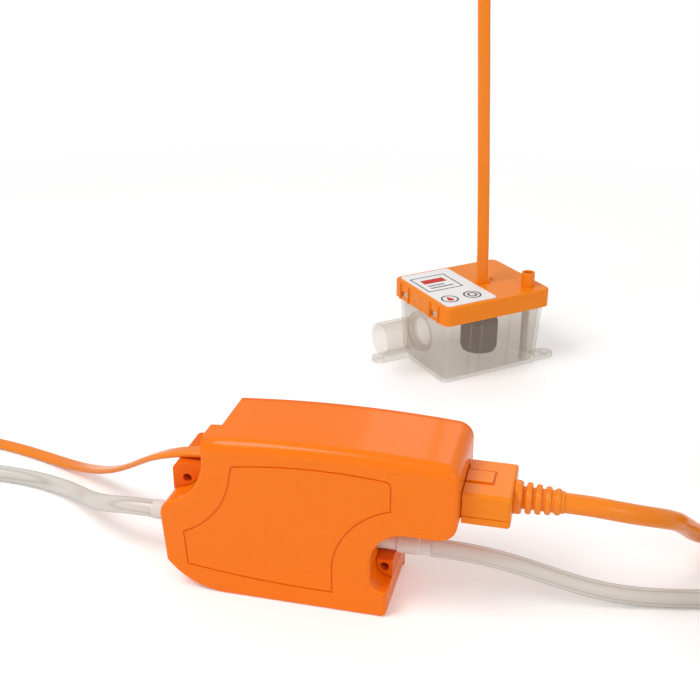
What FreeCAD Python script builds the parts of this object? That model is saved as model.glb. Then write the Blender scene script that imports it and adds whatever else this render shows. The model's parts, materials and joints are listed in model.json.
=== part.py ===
"""Condensate pump: an orange pump unit and the small reservoir with a float that switches it.

The unit lies along X, its front faces -Y and it stands on Z = 0, with the origin in the middle
of its underside. The reservoir stands behind it on the same floor, turned about Z. Lengths are
millimetres and angles degrees.
"""
import FreeCAD, Part
import math
import os
import re

import Sketcher

Vector = FreeCAD.Vector

# Driving sizes. Heights are above the floor. A size named _in is measured from the left end of
# the unit, because the unit's outline was worked out from there.
SIZES = {
    # Pump unit: outline of the casing seen from the front
    "cover_length": 145.0,
    "cover_depth": 44.5,
    "plate_thick": 2.5,
    "cover_wall": 2.2,
    "top_left_high": 84.2,
    "crown_in": 82.0,
    "crown_high": 87.4,
    "top_right_high": 85.0,
    "block_in": 22.3,
    "foot_in": 112.8,
    "under_high": 46.9,
    "lobe_radius": 9.2,
    "scoop_radius": 17.0,
    "notch_bite": 8.1,
    "notch_low_high": 21.0,
    "shoulder_in": 8.5,
    "shoulder_high": 49.8,
    "left_wall_high": 41.0,
    "left_foot_high": 15.0,
    "left_foot_in": 1.9,
    "left_scoop_sag": 3.2,
    "left_scoop_top_high": 70.5,
    "belly_in": 32.0,
    "step_in": 28.0,
    "step_depth": 17.5,
    "step_high": 63.0,
    "front_thicker": 4.5,
    "corner_round": 8.0,
    "foot_round": 3.0,
    "panel_left_in": 12.0,
    "panel_low_high": 13.4,
    "panel_right_in": 114.2,
    "panel_top_high": 75.4,
    "panel_waist_in": 86.2,
    "panel_scoop_sag": 6.6,
    "panel_groove_wide": 0.8,
    "panel_groove_deep": 0.6,
    # Screw towers of the rear plate
    "tower_depth": 14.0,
    "tower_gap": 0.3,
    "wall_screw_radius": 2.3,
    "tower_left_in": 2.4,
    "tower_top_high": 62.0,
    "tower_hole_in": 9.8,
    "tower_hole_high": 54.8,
    "foot_hole_in": 108.9,
    "foot_hole_high": 19.4,
    "foot_tower_high": 23.2,
    # Screws that close the casing
    "boss_radius": 3.2,
    "pilot_radius": 1.2,
    "casing_screw_radius": 1.45,
    "casing_screw_head": 2.9,
    "casing_screw_head_tall": 1.5,
    "casing_screw_length": 14.0,
    # Pump module on one axis along X
    "axis_out": 22.5,
    "axis_high": 28.5,
    "hose_radius": 4.5,
    "hose_bore_radius": 3.0,
    "inlet_reach": 13.0,
    "inlet_sleeve_radius": 5.0,
    "outlet_cap_start_in": 113.5,
    "outlet_cap_length": 12.0,
    "outlet_cap_radius": 4.8,
    "outlet_ring_length": 5.0,
    "outlet_ring_radius": 4.25,
    "port_clear": 0.3,
    "guide_start_in": 24.0,
    "guide_length": 68.0,
    "guide_radius": 7.0,
    "guide_wall": 1.0,
    "coil_start_in": 33.0,
    "coil_length": 44.0,
    "coil_radius": 13.5,
    "bobbin_wall": 1.2,
    "flange_thick": 1.8,
    "yoke_thick": 2.0,
    "piston_length": 34.0,
    "piston_clear": 0.05,
    "piston_bore_radius": 2.4,
    "piston_stroke": 2.5,
    "spring_wire": 0.7,
    "spring_turns": 6.0,
    "mount_ring_radius": 10.5,
    "mount_ring_wide": 6.0,
    "ball_radius": 2.0,
    "ball_lift": 1.0,
    # Circuit board
    "board_in": 41.0,
    "board_length": 70.0,
    "board_high": 28.0,
    "board_low_high": 51.5,
    "board_thick": 1.6,
    "board_standoff": 6.0,
    # Power connector
    "plug_width_share": 0.7416,
    "plug_tall": 16.5,
    "plug_middle_share": 0.573,
    "plug_middle_high": 60.75,
    "plug_length": 22.5,
    "plug_gap": 0.4,
    "nose_length": 11.0,
    "nose_inset": 2.0,
    "nose_clear": 0.4,
    "socket_wall": 1.5,
    "pin_radius": 1.0,
    "pin_length": 8.0,
    "pin_pitch": 8.0,
    "pin_clear": 0.3,
    "relief_length": 23.0,
    "relief_radius": 8.0,
    "relief_end_radius": 6.4,
    "lead_wide": 9.6,
    # Flat sensor cable
    "flat_wide": 8.0,
    "flat_thick": 3.0,
    "lead_slot_out": 22.5,
    "lead_slot_high": 65.6,
    "grommet_lip": 1.0,
    "grommet_port": 0.7,
    "grommet_waist": 0.5,
    # Reservoir, in its own frame: x along the long side, y to the back, corner at the front left
    "tank_at_x": 26.7,
    "tank_at_y": 227.8,
    "tank_turn": 41.43,
    "lid_long": 85.8,
    "lid_wide": 70.2,
    "lid_high": 58.1,
    "lid_skirt": 13.0,
    "lid_thick": 2.2,
    "skirt_thick": 2.0,
    "lid_corner": 5.0,
    "tank_wall": 2.0,
    "tank_rim_gap": 0.3,
    "tank_taper_long": 1.6,
    "tank_taper_wide": 4.2,
    "tank_floor": 2.0,
    "gasket_thick": 1.2,
    "spigot_radius": 12.0,
    "spigot_wall": 1.8,
    "spigot_reach": 30.0,
    "spigot_at_y": 35.6,
    "spigot_high": 28.7,
    "collar_thick": 2.4,
    "collar_radius": 14.2,
    "ear_thick": 3.0,
    "ear_round": 6.2,
    "ear_hole_radius": 2.25,
    "ear_left_x": -15.5,
    "ear_left_y": 61.0,
    "ear_right_out": 8.2,
    "ear_right_y": 13.5,
    "rib_wide": 1.2,
    "rib_proud": 1.0,
    "latch_wide": 11.0,
    "latch_first_y": 15.5,
    "latch_second_y": 54.7,
    "latch_bar_thick": 0.7,
    "latch_rib": 1.2,
    "latch_proud": 1.1,
    "hook_proud": 1.1,
    "window_low_high": 47.6,
    "window_high": 3.6,
    "label_margin": 3.0,
    "label_share": 0.498,
    "label_thick": 0.3,
    "spout_in": 12.2,
    "spout_y": 11.4,
    "spout_radius": 4.6,
    "spout_bore_radius": 3.2,
    "spout_high": 10.2,
    "pickup_radius": 2.6,
    "pickup_bore_radius": 1.7,
    "strainer_radius": 2.8,
    "stem_x": 48.6,
    "stem_y": 31.4,
    "stem_radius": 3.6,
    "stem_foot_high": 5.0,
    "float_radius": 13.2,
    "float_tall": 26.0,
    "float_low_high": 7.6,
    "float_round": 4.0,
    "float_bore_clear": 0.5,
    "float_travel": 18.0,
    "magnet_tall": 6.0,
    "magnet_radius": 6.6,
    "gland_wide": 11.0,
    "gland_high": 1.4,
    "nub_radius": 1.6,
    # Cords: coil centres, middle radius and turns of what is put away outside the view
    "sensor_coil_x": -322.0,
    "sensor_coil_y": 132.0,
    "sensor_coil_radius": 44.0,
    "sensor_coil_turns": 3.5,
    "suction_coil_x": -257.0,
    "suction_coil_y": -14.7,
    "suction_coil_outer": 58.7,
    "hose_coil_radius": 49.5,
    "suction_coil_turns": 3.0,
    "discharge_coil_x": 255.0,
    "discharge_coil_y": -15.0,
    "discharge_coil_turns": 4.0,
    "power_coil_x": 276.0,
    "power_coil_y": 128.0,
    "power_coil_radius": 52.0,
    "power_coil_turns": 3.5,
    "turn_clear": 0.2,
    "connector_long": 20.0,
    "connector_wide": 10.0,
    "connector_tall": 6.0,
    "core_radius": 1.4,
    "core_length": 22.0,
    "sheath_end_length": 8.0,
    "riser_clip_wide": 14.0,
    "riser_clip_deep": 6.0,
    "riser_clip_gap": 0.3,
    "riser_clip_tall": 18.0,
}

# Sizes that follow from the driving ones.
DERIVED = {
    "notch_in": "foot_in - notch_bite",
    "notch_radius": "notch_bite * 0.9",
    "left_end": "-cover_length / 2",
    "right_end": "cover_length / 2",
    "front_face": "-(cover_depth + plate_thick) / 2",
    "cover_back": "front_face + cover_depth",
    "back_face": "cover_back + plate_thick",
    "axis_at_y": "front_face + axis_out",
    "guide_start": "left_end + guide_start_in",
    "guide_end": "guide_start + guide_length",
    "guide_bore_radius": "guide_radius - guide_wall",
    "piston_radius": "guide_bore_radius - piston_clear",
    "coil_start": "left_end + coil_start_in",
    "coil_end": "coil_start + coil_length",
    "coil_middle": "coil_start + coil_length / 2",
    "piston_start": "coil_middle - piston_length / 2",
    "piston_end": "piston_start + piston_length",
    "inlet_tip": "left_end - inlet_reach",
    "outlet_cap_start": "left_end + outlet_cap_start_in",
    "outlet_cap_end": "outlet_cap_start + outlet_cap_length",
    "outlet_tip": "outlet_cap_end + outlet_ring_length",
    "outlet_neck_start": "left_end + notch_in - cover_wall - 1",
    "inlet_ring_start": "left_end + 11",
    "outlet_ring_start": "guide_end + 2",
    "inlet_nose_end": "guide_start + 7",
    "outlet_nose_start": "guide_end - 13",
    "plug_width": "plug_width_share * cover_depth",
    "plug_at_y": "front_face + plug_middle_share * cover_depth",
    "plug_start": "right_end + plug_gap",
    "plug_end": "plug_start + plug_length",
    "relief_end": "plug_end + relief_length",
    "nose_start": "plug_start - nose_length",
    "nose_wide": "plug_width - 2 * nose_inset",
    "nose_tall": "plug_tall - 2 * nose_inset",
    "socket_floor": "nose_start - nose_clear",
    "lead_slot_y": "front_face + lead_slot_out",
    "skirt_low": "lid_high - lid_skirt",
    "lid_under": "lid_high - lid_thick",
    "rim_in": "skirt_thick + tank_rim_gap",
    "spout_x": "lid_long - spout_in",
    "ear_right_x": "lid_long + ear_right_out",
    "label_end_x": "label_share * lid_long",
    "tank_top": "lid_under - gasket_thick",
    "tank_long": "lid_long - 2 * rim_in",
    "tank_wide": "lid_wide - 2 * rim_in",
}

doc = FreeCAD.newDocument("CondensatePump")
sheet = doc.addObject("Spreadsheet::Sheet", "Sizes")
for row, (alias, number) in enumerate(list(SIZES.items()) + list(DERIVED.items()), start=1):
    cell = "A%d" % row
    text = "=" + number if isinstance(number, str) else repr(number)
    sheet.set(cell, text)
    sheet.setAlias(cell, alias)
doc.recompute()

WORD = re.compile(r"[a-z][a-z_0-9]*")
EXPORTS = []
SPRING_STEPS = 10


def mm(alias):
    """One size from the sheet, as a number."""
    return float(sheet.get(alias))


def bound(text):
    """The expression with each word that is a size pointed at the sheet."""
    def point(match):
        word = match.group()
        return "Sizes." + word if word in SIZES or word in DERIVED else word
    return WORD.sub(point, str(text))


def bind(thing, **sizes):
    """Binds properties of an object to expressions; __ in a name stands for a dot."""
    for name, text in sizes.items():
        thing.setExpression(name.replace("__", "."), bound(text))


def place(thing, x=0, y=0, z=0, axis=None, angle=0):
    """Turns an object, then binds its position to three expressions."""
    if axis is not None:
        thing.Placement = FreeCAD.Placement(Vector(0, 0, 0), FreeCAD.Rotation(Vector(*axis), angle))
    bind(thing, Placement__Base__x=x, Placement__Base__y=y, Placement__Base__z=z)
    return thing


def place_reservoir(thing):
    """Stands a piece that is modelled in the reservoir's frame in its place behind the unit."""
    place(thing, "tank_at_x", "tank_at_y", 0, axis=(0, 0, 1), angle=mm("tank_turn"))
    bind(thing, Placement__Rotation__Angle="tank_turn * 1 deg")
    return thing


def box(name, long, wide, tall, x, y, z):
    """A block with bound sides, standing on its lowest corner."""
    thing = doc.addObject("Part::Box", name)
    bind(thing, Length=long, Width=wide, Height=tall)
    return place(thing, x, y, z)


TURN = {"x": ((0, 1, 0), 90), "y": ((1, 0, 0), -90), "z": (None, 0)}


def rod(name, along, radius, length, x, y, z):
    """A cylinder that starts at a point and runs along +x, +y or +z."""
    thing = doc.addObject("Part::Cylinder", name)
    bind(thing, Radius=radius, Height=length)
    axis, angle = TURN[along]
    return place(thing, x, y, z, axis, angle)


def cut(name, base, *tools):
    """The base with the tools taken away."""
    tool = tools[0]
    if len(tools) > 1:
        tool = doc.addObject("Part::MultiFuse", name + "_tools")
        tool.Shapes = list(tools)
    thing = doc.addObject("Part::Cut", name)
    thing.Base = base
    thing.Tool = tool
    return thing


def fuse(name, *pieces):
    """The pieces joined into one solid."""
    thing = doc.addObject("Part::MultiFuse", name)
    thing.Shapes = list(pieces)
    return thing


def group(name, *pieces):
    """Separate solids kept together in one node."""
    thing = doc.addObject("Part::Compound", name)
    thing.Links = list(pieces)
    return thing


def rounded(name, base, radius, chosen):
    """Fillets the edges of a base that the chosen test picks, all with one radius."""
    doc.recompute()
    thing = doc.addObject("Part::Fillet", name)
    thing.Base = base
    edges = [i for i, edge in enumerate(base.Shape.Edges, start=1) if chosen(edge)]
    thing.Edges = [(i, radius, radius) for i in edges]
    return thing


def keep(thing, label):
    """Names a finished piece, which is written to its own file."""
    thing.Label = label
    EXPORTS.append(thing)
    return thing


def polygon(sketch, points):
    """Closed straight outline whose corners are bound, each as an x and a y expression."""
    count = len(points)
    for i in range(count):
        here = Vector(math.cos(i), math.sin(i), 0)
        there = Vector(math.cos(i + 1), math.sin(i + 1), 0)
        sketch.addGeometry(Part.LineSegment(here, there))
    for i in range(count):
        sketch.addConstraint(Sketcher.Constraint("Coincident", i, 2, (i + 1) % count, 1))
    for i, point in enumerate(points):
        for kind, letter, text in (("DistanceX", "x", point[0]), ("DistanceY", "y", point[1])):
            index = sketch.addConstraint(Sketcher.Constraint(kind, -1, 1, i, 1, 1.0 + i))
            name = "%s%d" % (letter, i)
            sketch.renameConstraint(index, name)
            sketch.setExpression("Constraints." + name, bound(text))


def body_sketch(body, name, role):
    """A new sketch on one of a body's own origin planes."""
    sketch = body.newObject("Sketcher::SketchObject", name)
    plane = [f for f in body.Origin.OriginFeatures if f.Role == role][0]
    sketch.AttachmentSupport = [(plane, "")]
    sketch.MapMode = "FlatFace"
    return sketch


def turned(name, points, along="x"):
    """A body turned about X, from (x, radius) points, or about Z, from (radius, z) points."""
    body = doc.addObject("PartDesign::Body", name)
    sketch = body_sketch(body, name + "_profile", "XZ_Plane")
    polygon(sketch, points)
    doc.recompute()
    revolution = body.newObject("PartDesign::Revolution", name + "_turn")
    revolution.Profile = sketch
    revolution.ReferenceAxis = (sketch, ["H_Axis" if along == "x" else "V_Axis"])
    revolution.Angle = 360
    body.Tip = revolution
    return body


def on_axis(thing):
    """Puts a piece that is turned about X on the pump module's axis."""
    return place(thing, 0, "axis_at_y", "axis_high")


def arc(first, middle, last):
    return Part.Arc(Vector(*first, 0), Vector(*middle, 0), Vector(*last, 0))


def line(first, last):
    return Part.LineSegment(Vector(*first, 0), Vector(*last, 0))


def front_sketch(name, curves):
    """An outline seen from the front, drawn in X and Z on the plane Y = 0."""
    sketch = doc.addObject("Sketcher::SketchObject", name)
    sketch.Placement = FreeCAD.Placement(Vector(0, 0, 0), FreeCAD.Rotation(Vector(1, 0, 0), 90))
    for curve in curves:
        sketch.addGeometry(curve)
    return sketch


def swept_back(name, sketch, start, length):
    """The outline of a front sketch made solid from one depth, over a length to the back."""
    thing = doc.addObject("Part::Extrusion", name)
    thing.Base = sketch
    thing.DirMode = "Custom"
    thing.Dir = Vector(0, 1, 0)
    thing.Solid = True
    bind(thing, LengthFwd=length)
    bind(thing, Placement__Base__y=start)
    return thing


def offset_outline(name, sketch, distance):
    """The outline moved outwards, or inwards where the distance is negative."""
    thing = doc.addObject("Part::Offset2D", name)
    thing.Source = sketch
    thing.Fill = False
    thing.Join = 0
    bind(thing, Value=distance)
    return thing


def bulged(first, last, sag):
    """An arc between two points that stands off its chord by sag, to the left of the way along it."""
    across = last[0] - first[0]
    up = last[1] - first[1]
    chord = math.hypot(across, up)
    middle = (
        (first[0] + last[0]) / 2 - up / chord * sag,
        (first[1] + last[1]) / 2 + across / chord * sag,
    )
    return arc(first, middle, last)


def on_circle(centre, radius, degrees):
    """The point of a circle at an angle from +x."""
    return (
        centre[0] + radius * math.cos(math.radians(degrees)),
        centre[1] + radius * math.sin(math.radians(degrees)),
    )


def casing_outline():
    """The casing seen from the front: two blocks, offset like steps, with a scoop in each."""
    left = mm("left_end")
    right = mm("right_end")
    block = left + mm("block_in")
    foot = left + mm("foot_in")
    notch_wall = left + mm("notch_in")
    under = mm("under_high")
    lobe = mm("lobe_radius")
    scoop = mm("scoop_radius")
    notch = mm("notch_radius")
    notch_low = mm("notch_low_high")
    lobe_centre = (right - lobe, under + lobe)
    scoop_centre = (notch_wall + scoop, under - scoop)
    notch_centre = (notch_wall + notch, notch_low)
    top_left = (block, mm("top_left_high"))
    crown = (left + mm("crown_in"), mm("crown_high"))
    top_right = (right, mm("top_right_high"))
    belly = (left + mm("belly_in"), 0)
    left_foot = (left + mm("left_foot_in"), mm("left_foot_high"))
    left_top = (left, mm("left_wall_high"))
    shoulder = (left + mm("shoulder_in"), mm("shoulder_high"))
    scoop_top = (block, mm("left_scoop_top_high"))
    belly_radius = ((belly[0] - left_foot[0]) ** 2 + left_foot[1] ** 2) / (2 * left_foot[1])
    belly_turn = math.degrees(math.asin((belly[0] - left_foot[0]) / belly_radius))
    shoulder_rise = shoulder[1] - left_top[1]
    shoulder_run = shoulder[0] - left_top[0]
    shoulder_radius = (shoulder_run ** 2 + shoulder_rise ** 2) / (2 * shoulder_run)
    shoulder_centre = (left + shoulder_radius, left_top[1])
    shoulder_end = math.degrees(math.atan2(shoulder_rise, shoulder_run - shoulder_radius))
    return [
        arc(top_left, crown, top_right),
        line(top_right, (right, lobe_centre[1])),
        arc((right, lobe_centre[1]), on_circle(lobe_centre, lobe, -45), (lobe_centre[0], under)),
        line((lobe_centre[0], under), (scoop_centre[0], under)),
        arc((scoop_centre[0], under), on_circle(scoop_centre, scoop, 135), (notch_wall, scoop_centre[1])),
        line((notch_wall, scoop_centre[1]), (notch_wall, notch_low)),
        arc((notch_wall, notch_low), on_circle(notch_centre, notch, 225), (notch_centre[0], notch_low - notch)),
        line((notch_centre[0], notch_low - notch), (foot, notch_low - notch)),
        line((foot, notch_low - notch), (foot, 0)),
        line((foot, 0), belly),
        arc(belly, on_circle((belly[0], belly_radius), belly_radius, 270 - belly_turn / 2), left_foot),
        line(left_foot, left_top),
        arc(left_top, on_circle(shoulder_centre, shoulder_radius, (180 + shoulder_end) / 2), shoulder),
        bulged(shoulder, scoop_top, -mm("left_scoop_sag")),
        line(scoop_top, top_left),
    ]


def panel_outline():
    """The engraved line on the front: a stepped panel that follows both scoops."""
    left = mm("left_end")
    low = mm("panel_low_high")
    high = mm("panel_top_high")
    panel_left = left + mm("panel_left_in")
    panel_right = left + mm("panel_right_in")
    waist = left + mm("panel_waist_in")
    sag = mm("panel_scoop_sag")
    corner = 3.0
    top_start = (panel_left + 26.0, high - 2.6)
    return [
        bulged(top_start, (panel_right - corner, high), 2.4),
        arc((panel_right - corner, high), on_circle((panel_right - corner, high - corner), corner, 45),
            (panel_right, high - corner)),
        line((panel_right, high - corner), (panel_right, high - 15.6)),
        bulged((panel_right, high - 15.6), (waist, low + 12.6), -sag),
        line((waist, low + 12.6), (waist, low - 3.0)),
        bulged((waist, low - 3.0), (panel_left + 1.3, low + 1.4), 1.3),
        line((panel_left + 1.3, low + 1.4), (panel_left, low + 20.0)),
        bulged((panel_left, low + 20.0), (top_start[0] - 1.9, top_start[1] - 10.0), -0.68 * sag),
        line((top_start[0] - 1.9, top_start[1] - 10.0), top_start),
    ]


def runs_back(edge, x, z):
    """True for the straight edge that runs from front to back at a place of the outline."""
    limits = edge.BoundBox
    straight = limits.XLength < 0.01 and limits.ZLength < 0.01
    return straight and abs(limits.XMin - x) < 0.5 and abs(limits.ZMin - z) < 0.5


def casing_block(name, outline, start, length, inward):
    """The outline swept back with its corners rounded, a wall smaller all round where inward is
    the wall: once for the casing's outside and once for its hollow."""
    block = swept_back(name, outline, start, length)
    doc.recompute()
    right = mm("right_end") - inward
    foot = mm("left_end") + mm("foot_in") - inward
    corners = [
        (right, mm("top_right_high") - inward, mm("corner_round") - inward),
        (foot, inward, mm("foot_round") - inward),
    ]
    turned_corners = doc.addObject("Part::Fillet", name + "_corners")
    turned_corners.Base = block
    turned_corners.Edges = [
        (i, radius, radius)
        for i, edge in enumerate(block.Shape.Edges, start=1)
        for x, z, radius in corners
        if runs_back(edge, x, z)
    ]
    return turned_corners


def step_box(name, wider):
    """The space left of the upper block behind its front part, grown by a margin."""
    return box(
        name,
        "step_in + " + wider, "cover_depth + plate_thick", "crown_high",
        "left_end", "front_face + step_depth - " + wider, "step_high - " + wider)


def front_cover(outline):
    """The deep orange shell with the panel line, the openings for both hoses, lead and plug."""
    block = casing_block("casing_block", outline, "front_face", "cover_depth", 0)
    outside = cut("casing_stepped", block, step_box("step_outside", "0"))
    inner_line = offset_outline("casing_inner_line", outline, "-cover_wall")
    deep_line = offset_outline("casing_deep_line", outline, "-(cover_wall + front_thicker)")
    hollow = fuse(
        "casing_hollow_whole",
        casing_block("casing_hollow", inner_line, "front_face + cover_wall + front_thicker",
                     "cover_depth", mm("cover_wall")),
        swept_back("casing_deep_hollow", deep_line, "front_face + cover_wall", "2 * front_thicker"))
    hollow = cut("casing_hollow_stepped", hollow, step_box("step_inside", "cover_wall"))
    shell = cut("casing_shell", outside, hollow)
    panel = front_sketch("panel_line", panel_outline())
    wide = offset_outline("panel_line_outer", panel, "panel_groove_wide / 2")
    narrow = offset_outline("panel_line_inner", panel, "-panel_groove_wide / 2")
    depth = "2 * panel_groove_deep"
    start = "front_face - panel_groove_deep"
    groove = cut(
        "panel_groove",
        swept_back("panel_groove_outer", wide, start, depth),
        swept_back("panel_groove_inner", narrow, start, depth))
    inlet_port = rod(
        "inlet_port", "x", "inlet_sleeve_radius + port_clear", "10",
        "left_end - 5", "axis_at_y", "axis_high")
    outlet_port = rod(
        "outlet_port", "x", "outlet_cap_radius + port_clear", "notch_bite + 2",
        "left_end + notch_in - cover_wall - 1", "axis_at_y", "axis_high")
    plug_port = box(
        "plug_port", "cover_wall + 2", "nose_wide + 2 * nose_clear", "nose_tall + 2 * nose_clear",
        "right_end - cover_wall - 1", "plug_at_y - nose_wide / 2 - nose_clear",
        "plug_middle_high - nose_tall / 2 - nose_clear")
    lead_port = box(
        "lead_port", "cover_wall + 4", "flat_wide + 2 * grommet_port", "flat_thick + 2 * grommet_port",
        "left_end + step_in - 1", "lead_slot_y - flat_wide / 2 - grommet_port",
        "lead_slot_high - flat_thick / 2 - grommet_port")
    bosses = []
    for i, (x, z) in enumerate(boss_places()):
        post = rod(
            "boss_%d" % i, "y", "boss_radius", "cover_depth - cover_wall", x, "front_face + cover_wall", z)
        pilot = rod(
            "boss_pilot_%d" % i, "y", "pilot_radius", "casing_screw_length",
            x, "cover_back - casing_screw_length + 1", z)
        bosses.append(cut("boss_bored_%d" % i, post, pilot))
    whole = fuse("casing_bossed", shell, *bosses)
    ported = cut("casing_ported", whole, inlet_port, outlet_port, plug_port, lead_port)
    keep(cut("cover_body", ported, groove), "front_cover")


def boss_places():
    """Where the four casing screws stand, as x and z expressions."""
    return [
        ("left_end + block_in + 14", "top_left_high - 13"),
        ("right_end - 9", "top_right_high - 9"),
        ("left_end + 7.4", "left_wall_high - 0.5"),
        ("left_end + notch_in - 7", "7.2"),
    ]


def rear_plate(outline):
    """The back: a plate with two screw towers that reach forward into the scoops, and cradles."""
    plate = casing_block("plate_blank", outline, "cover_back", "plate_thick", 0)
    plate = cut("plate_stepped", plate, step_box("plate_step", "0"))
    lip_line = offset_outline("lip_line", outline, "-(cover_wall + tower_gap)")
    lip_inner_line = offset_outline("lip_inner_line", outline, "-(cover_wall + tower_gap + 1.4)")
    lip = cut(
        "plate_lip",
        casing_block("lip_outer", lip_line, "cover_back - 2", "2 + plate_thick / 2",
                     mm("cover_wall") + mm("tower_gap")),
        swept_back("lip_inner", lip_inner_line, "cover_back - 3", "4 + plate_thick"),
        step_box("lip_step", "cover_wall + tower_gap"))
    tower_length = "cover_depth + plate_thick - tower_depth"
    upper = box(
        "upper_tower", "block_in + 4 - tower_left_in", tower_length, "tower_top_high - shoulder_high + 12",
        "left_end + tower_left_in", "front_face + tower_depth", "shoulder_high - 12")
    lower = box(
        "lower_tower", "notch_bite + 4", tower_length, "foot_tower_high",
        "left_end + notch_in - 4", "front_face + tower_depth", "0")
    keep_out = offset_outline("tower_keep_out_line", outline, "tower_gap")
    keep_out = swept_back("tower_keep_out", keep_out, "front_face - 1", "cover_depth + 1")
    towers = []
    places = (("left_end + tower_hole_in", "tower_hole_high"), ("left_end + foot_hole_in", "foot_hole_high"))
    for i, (tower, (x, z)) in enumerate(zip((upper, lower), places)):
        trimmed = cut("tower_trimmed_%d" % i, tower, keep_out)
        if i == 0:
            trimmed = rounded("upper_tower_soft", trimmed, mm("foot_round"), tower_corner)
        towers.append(trimmed)
    ring_seats = []
    for i, x in enumerate(("inlet_ring_start", "outlet_ring_start")):
        rib = box(
            "cradle_%d" % i, "mount_ring_wide", "cover_back - axis_at_y", "2 * mount_ring_radius + 5",
            x, "axis_at_y", "axis_high - mount_ring_radius - 2.5")
        seat = rod("cradle_seat_%d" % i, "x", "mount_ring_radius", "mount_ring_wide + 2", x + " - 1",
                   "axis_at_y", "axis_high")
        ring_seats.append(cut("cradle_cut_%d" % i, rib, seat))
    posts = [
        rod("board_post_%d" % i, "y", "2.5", "board_standoff + 1", x, "cover_back - board_standoff", z)
        for i, (x, z) in enumerate(board_posts())
    ]
    body = fuse("plate_body", plate, lip, *towers, *ring_seats, *posts)
    holes = [
        rod("wall_screw_hole_%d" % i, "y", "wall_screw_radius", "cover_depth + plate_thick + 4",
            x, "front_face - 1", z)
        for i, (x, z) in enumerate(places)
    ]
    for i, (x, z) in enumerate(boss_places()):
        holes.append(rod(
            "screw_hole_%d" % i, "y", "casing_screw_radius + 0.2", "plate_thick + 4", x, "cover_back - 3", z))
        holes.append(rod(
            "screw_sink_%d" % i, "y", "casing_screw_head + 0.2", "casing_screw_head_tall + 1",
            x, "back_face - casing_screw_head_tall", z))
        holes.append(rod(
            "boss_room_%d" % i, "y", "boss_radius + tower_gap", "4", x, "cover_back - 4", z))
    keep(cut("plate_finished", body, *holes), "rear_plate")


def tower_corner(edge):
    """The upper tower's free corner, which runs from front to back."""
    return runs_back(edge, mm("left_end") + mm("tower_left_in"), mm("tower_top_high"))


def board_posts():
    """Where the circuit board is screwed to the rear plate, as x and z expressions."""
    return [
        ("left_end + board_in + 5", "board_low_high + board_high - 5"),
        ("left_end + board_in + board_length - 5", "board_low_high + board_high - 5"),
        ("left_end + board_in + board_length / 2", "board_low_high + 4"),
    ]


def casing_screws():
    """Four self-tapping screws through the rear plate, heads outside."""
    screws = []
    for i, (x, z) in enumerate(boss_places()):
        shank = rod("screw_shank_%d" % i, "y", "pilot_radius", "casing_screw_length + plate_thick - 1",
                    x, "cover_back - casing_screw_length + 1", z)
        head = rod("screw_head_%d" % i, "y", "casing_screw_head", "casing_screw_head_tall",
                   x, "back_face - casing_screw_head_tall", z)
        recess = box("screw_recess_%d" % i, "3", "1", "0.8",
                     x + " - 1.5", "back_face - 0.7", z + " - 0.4")
        screws.append(cut("screw_%d" % i, fuse("screw_body_%d" % i, shank, head), recess))
    keep(group("casing_screw_set", *screws), "casing_screws")


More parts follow.
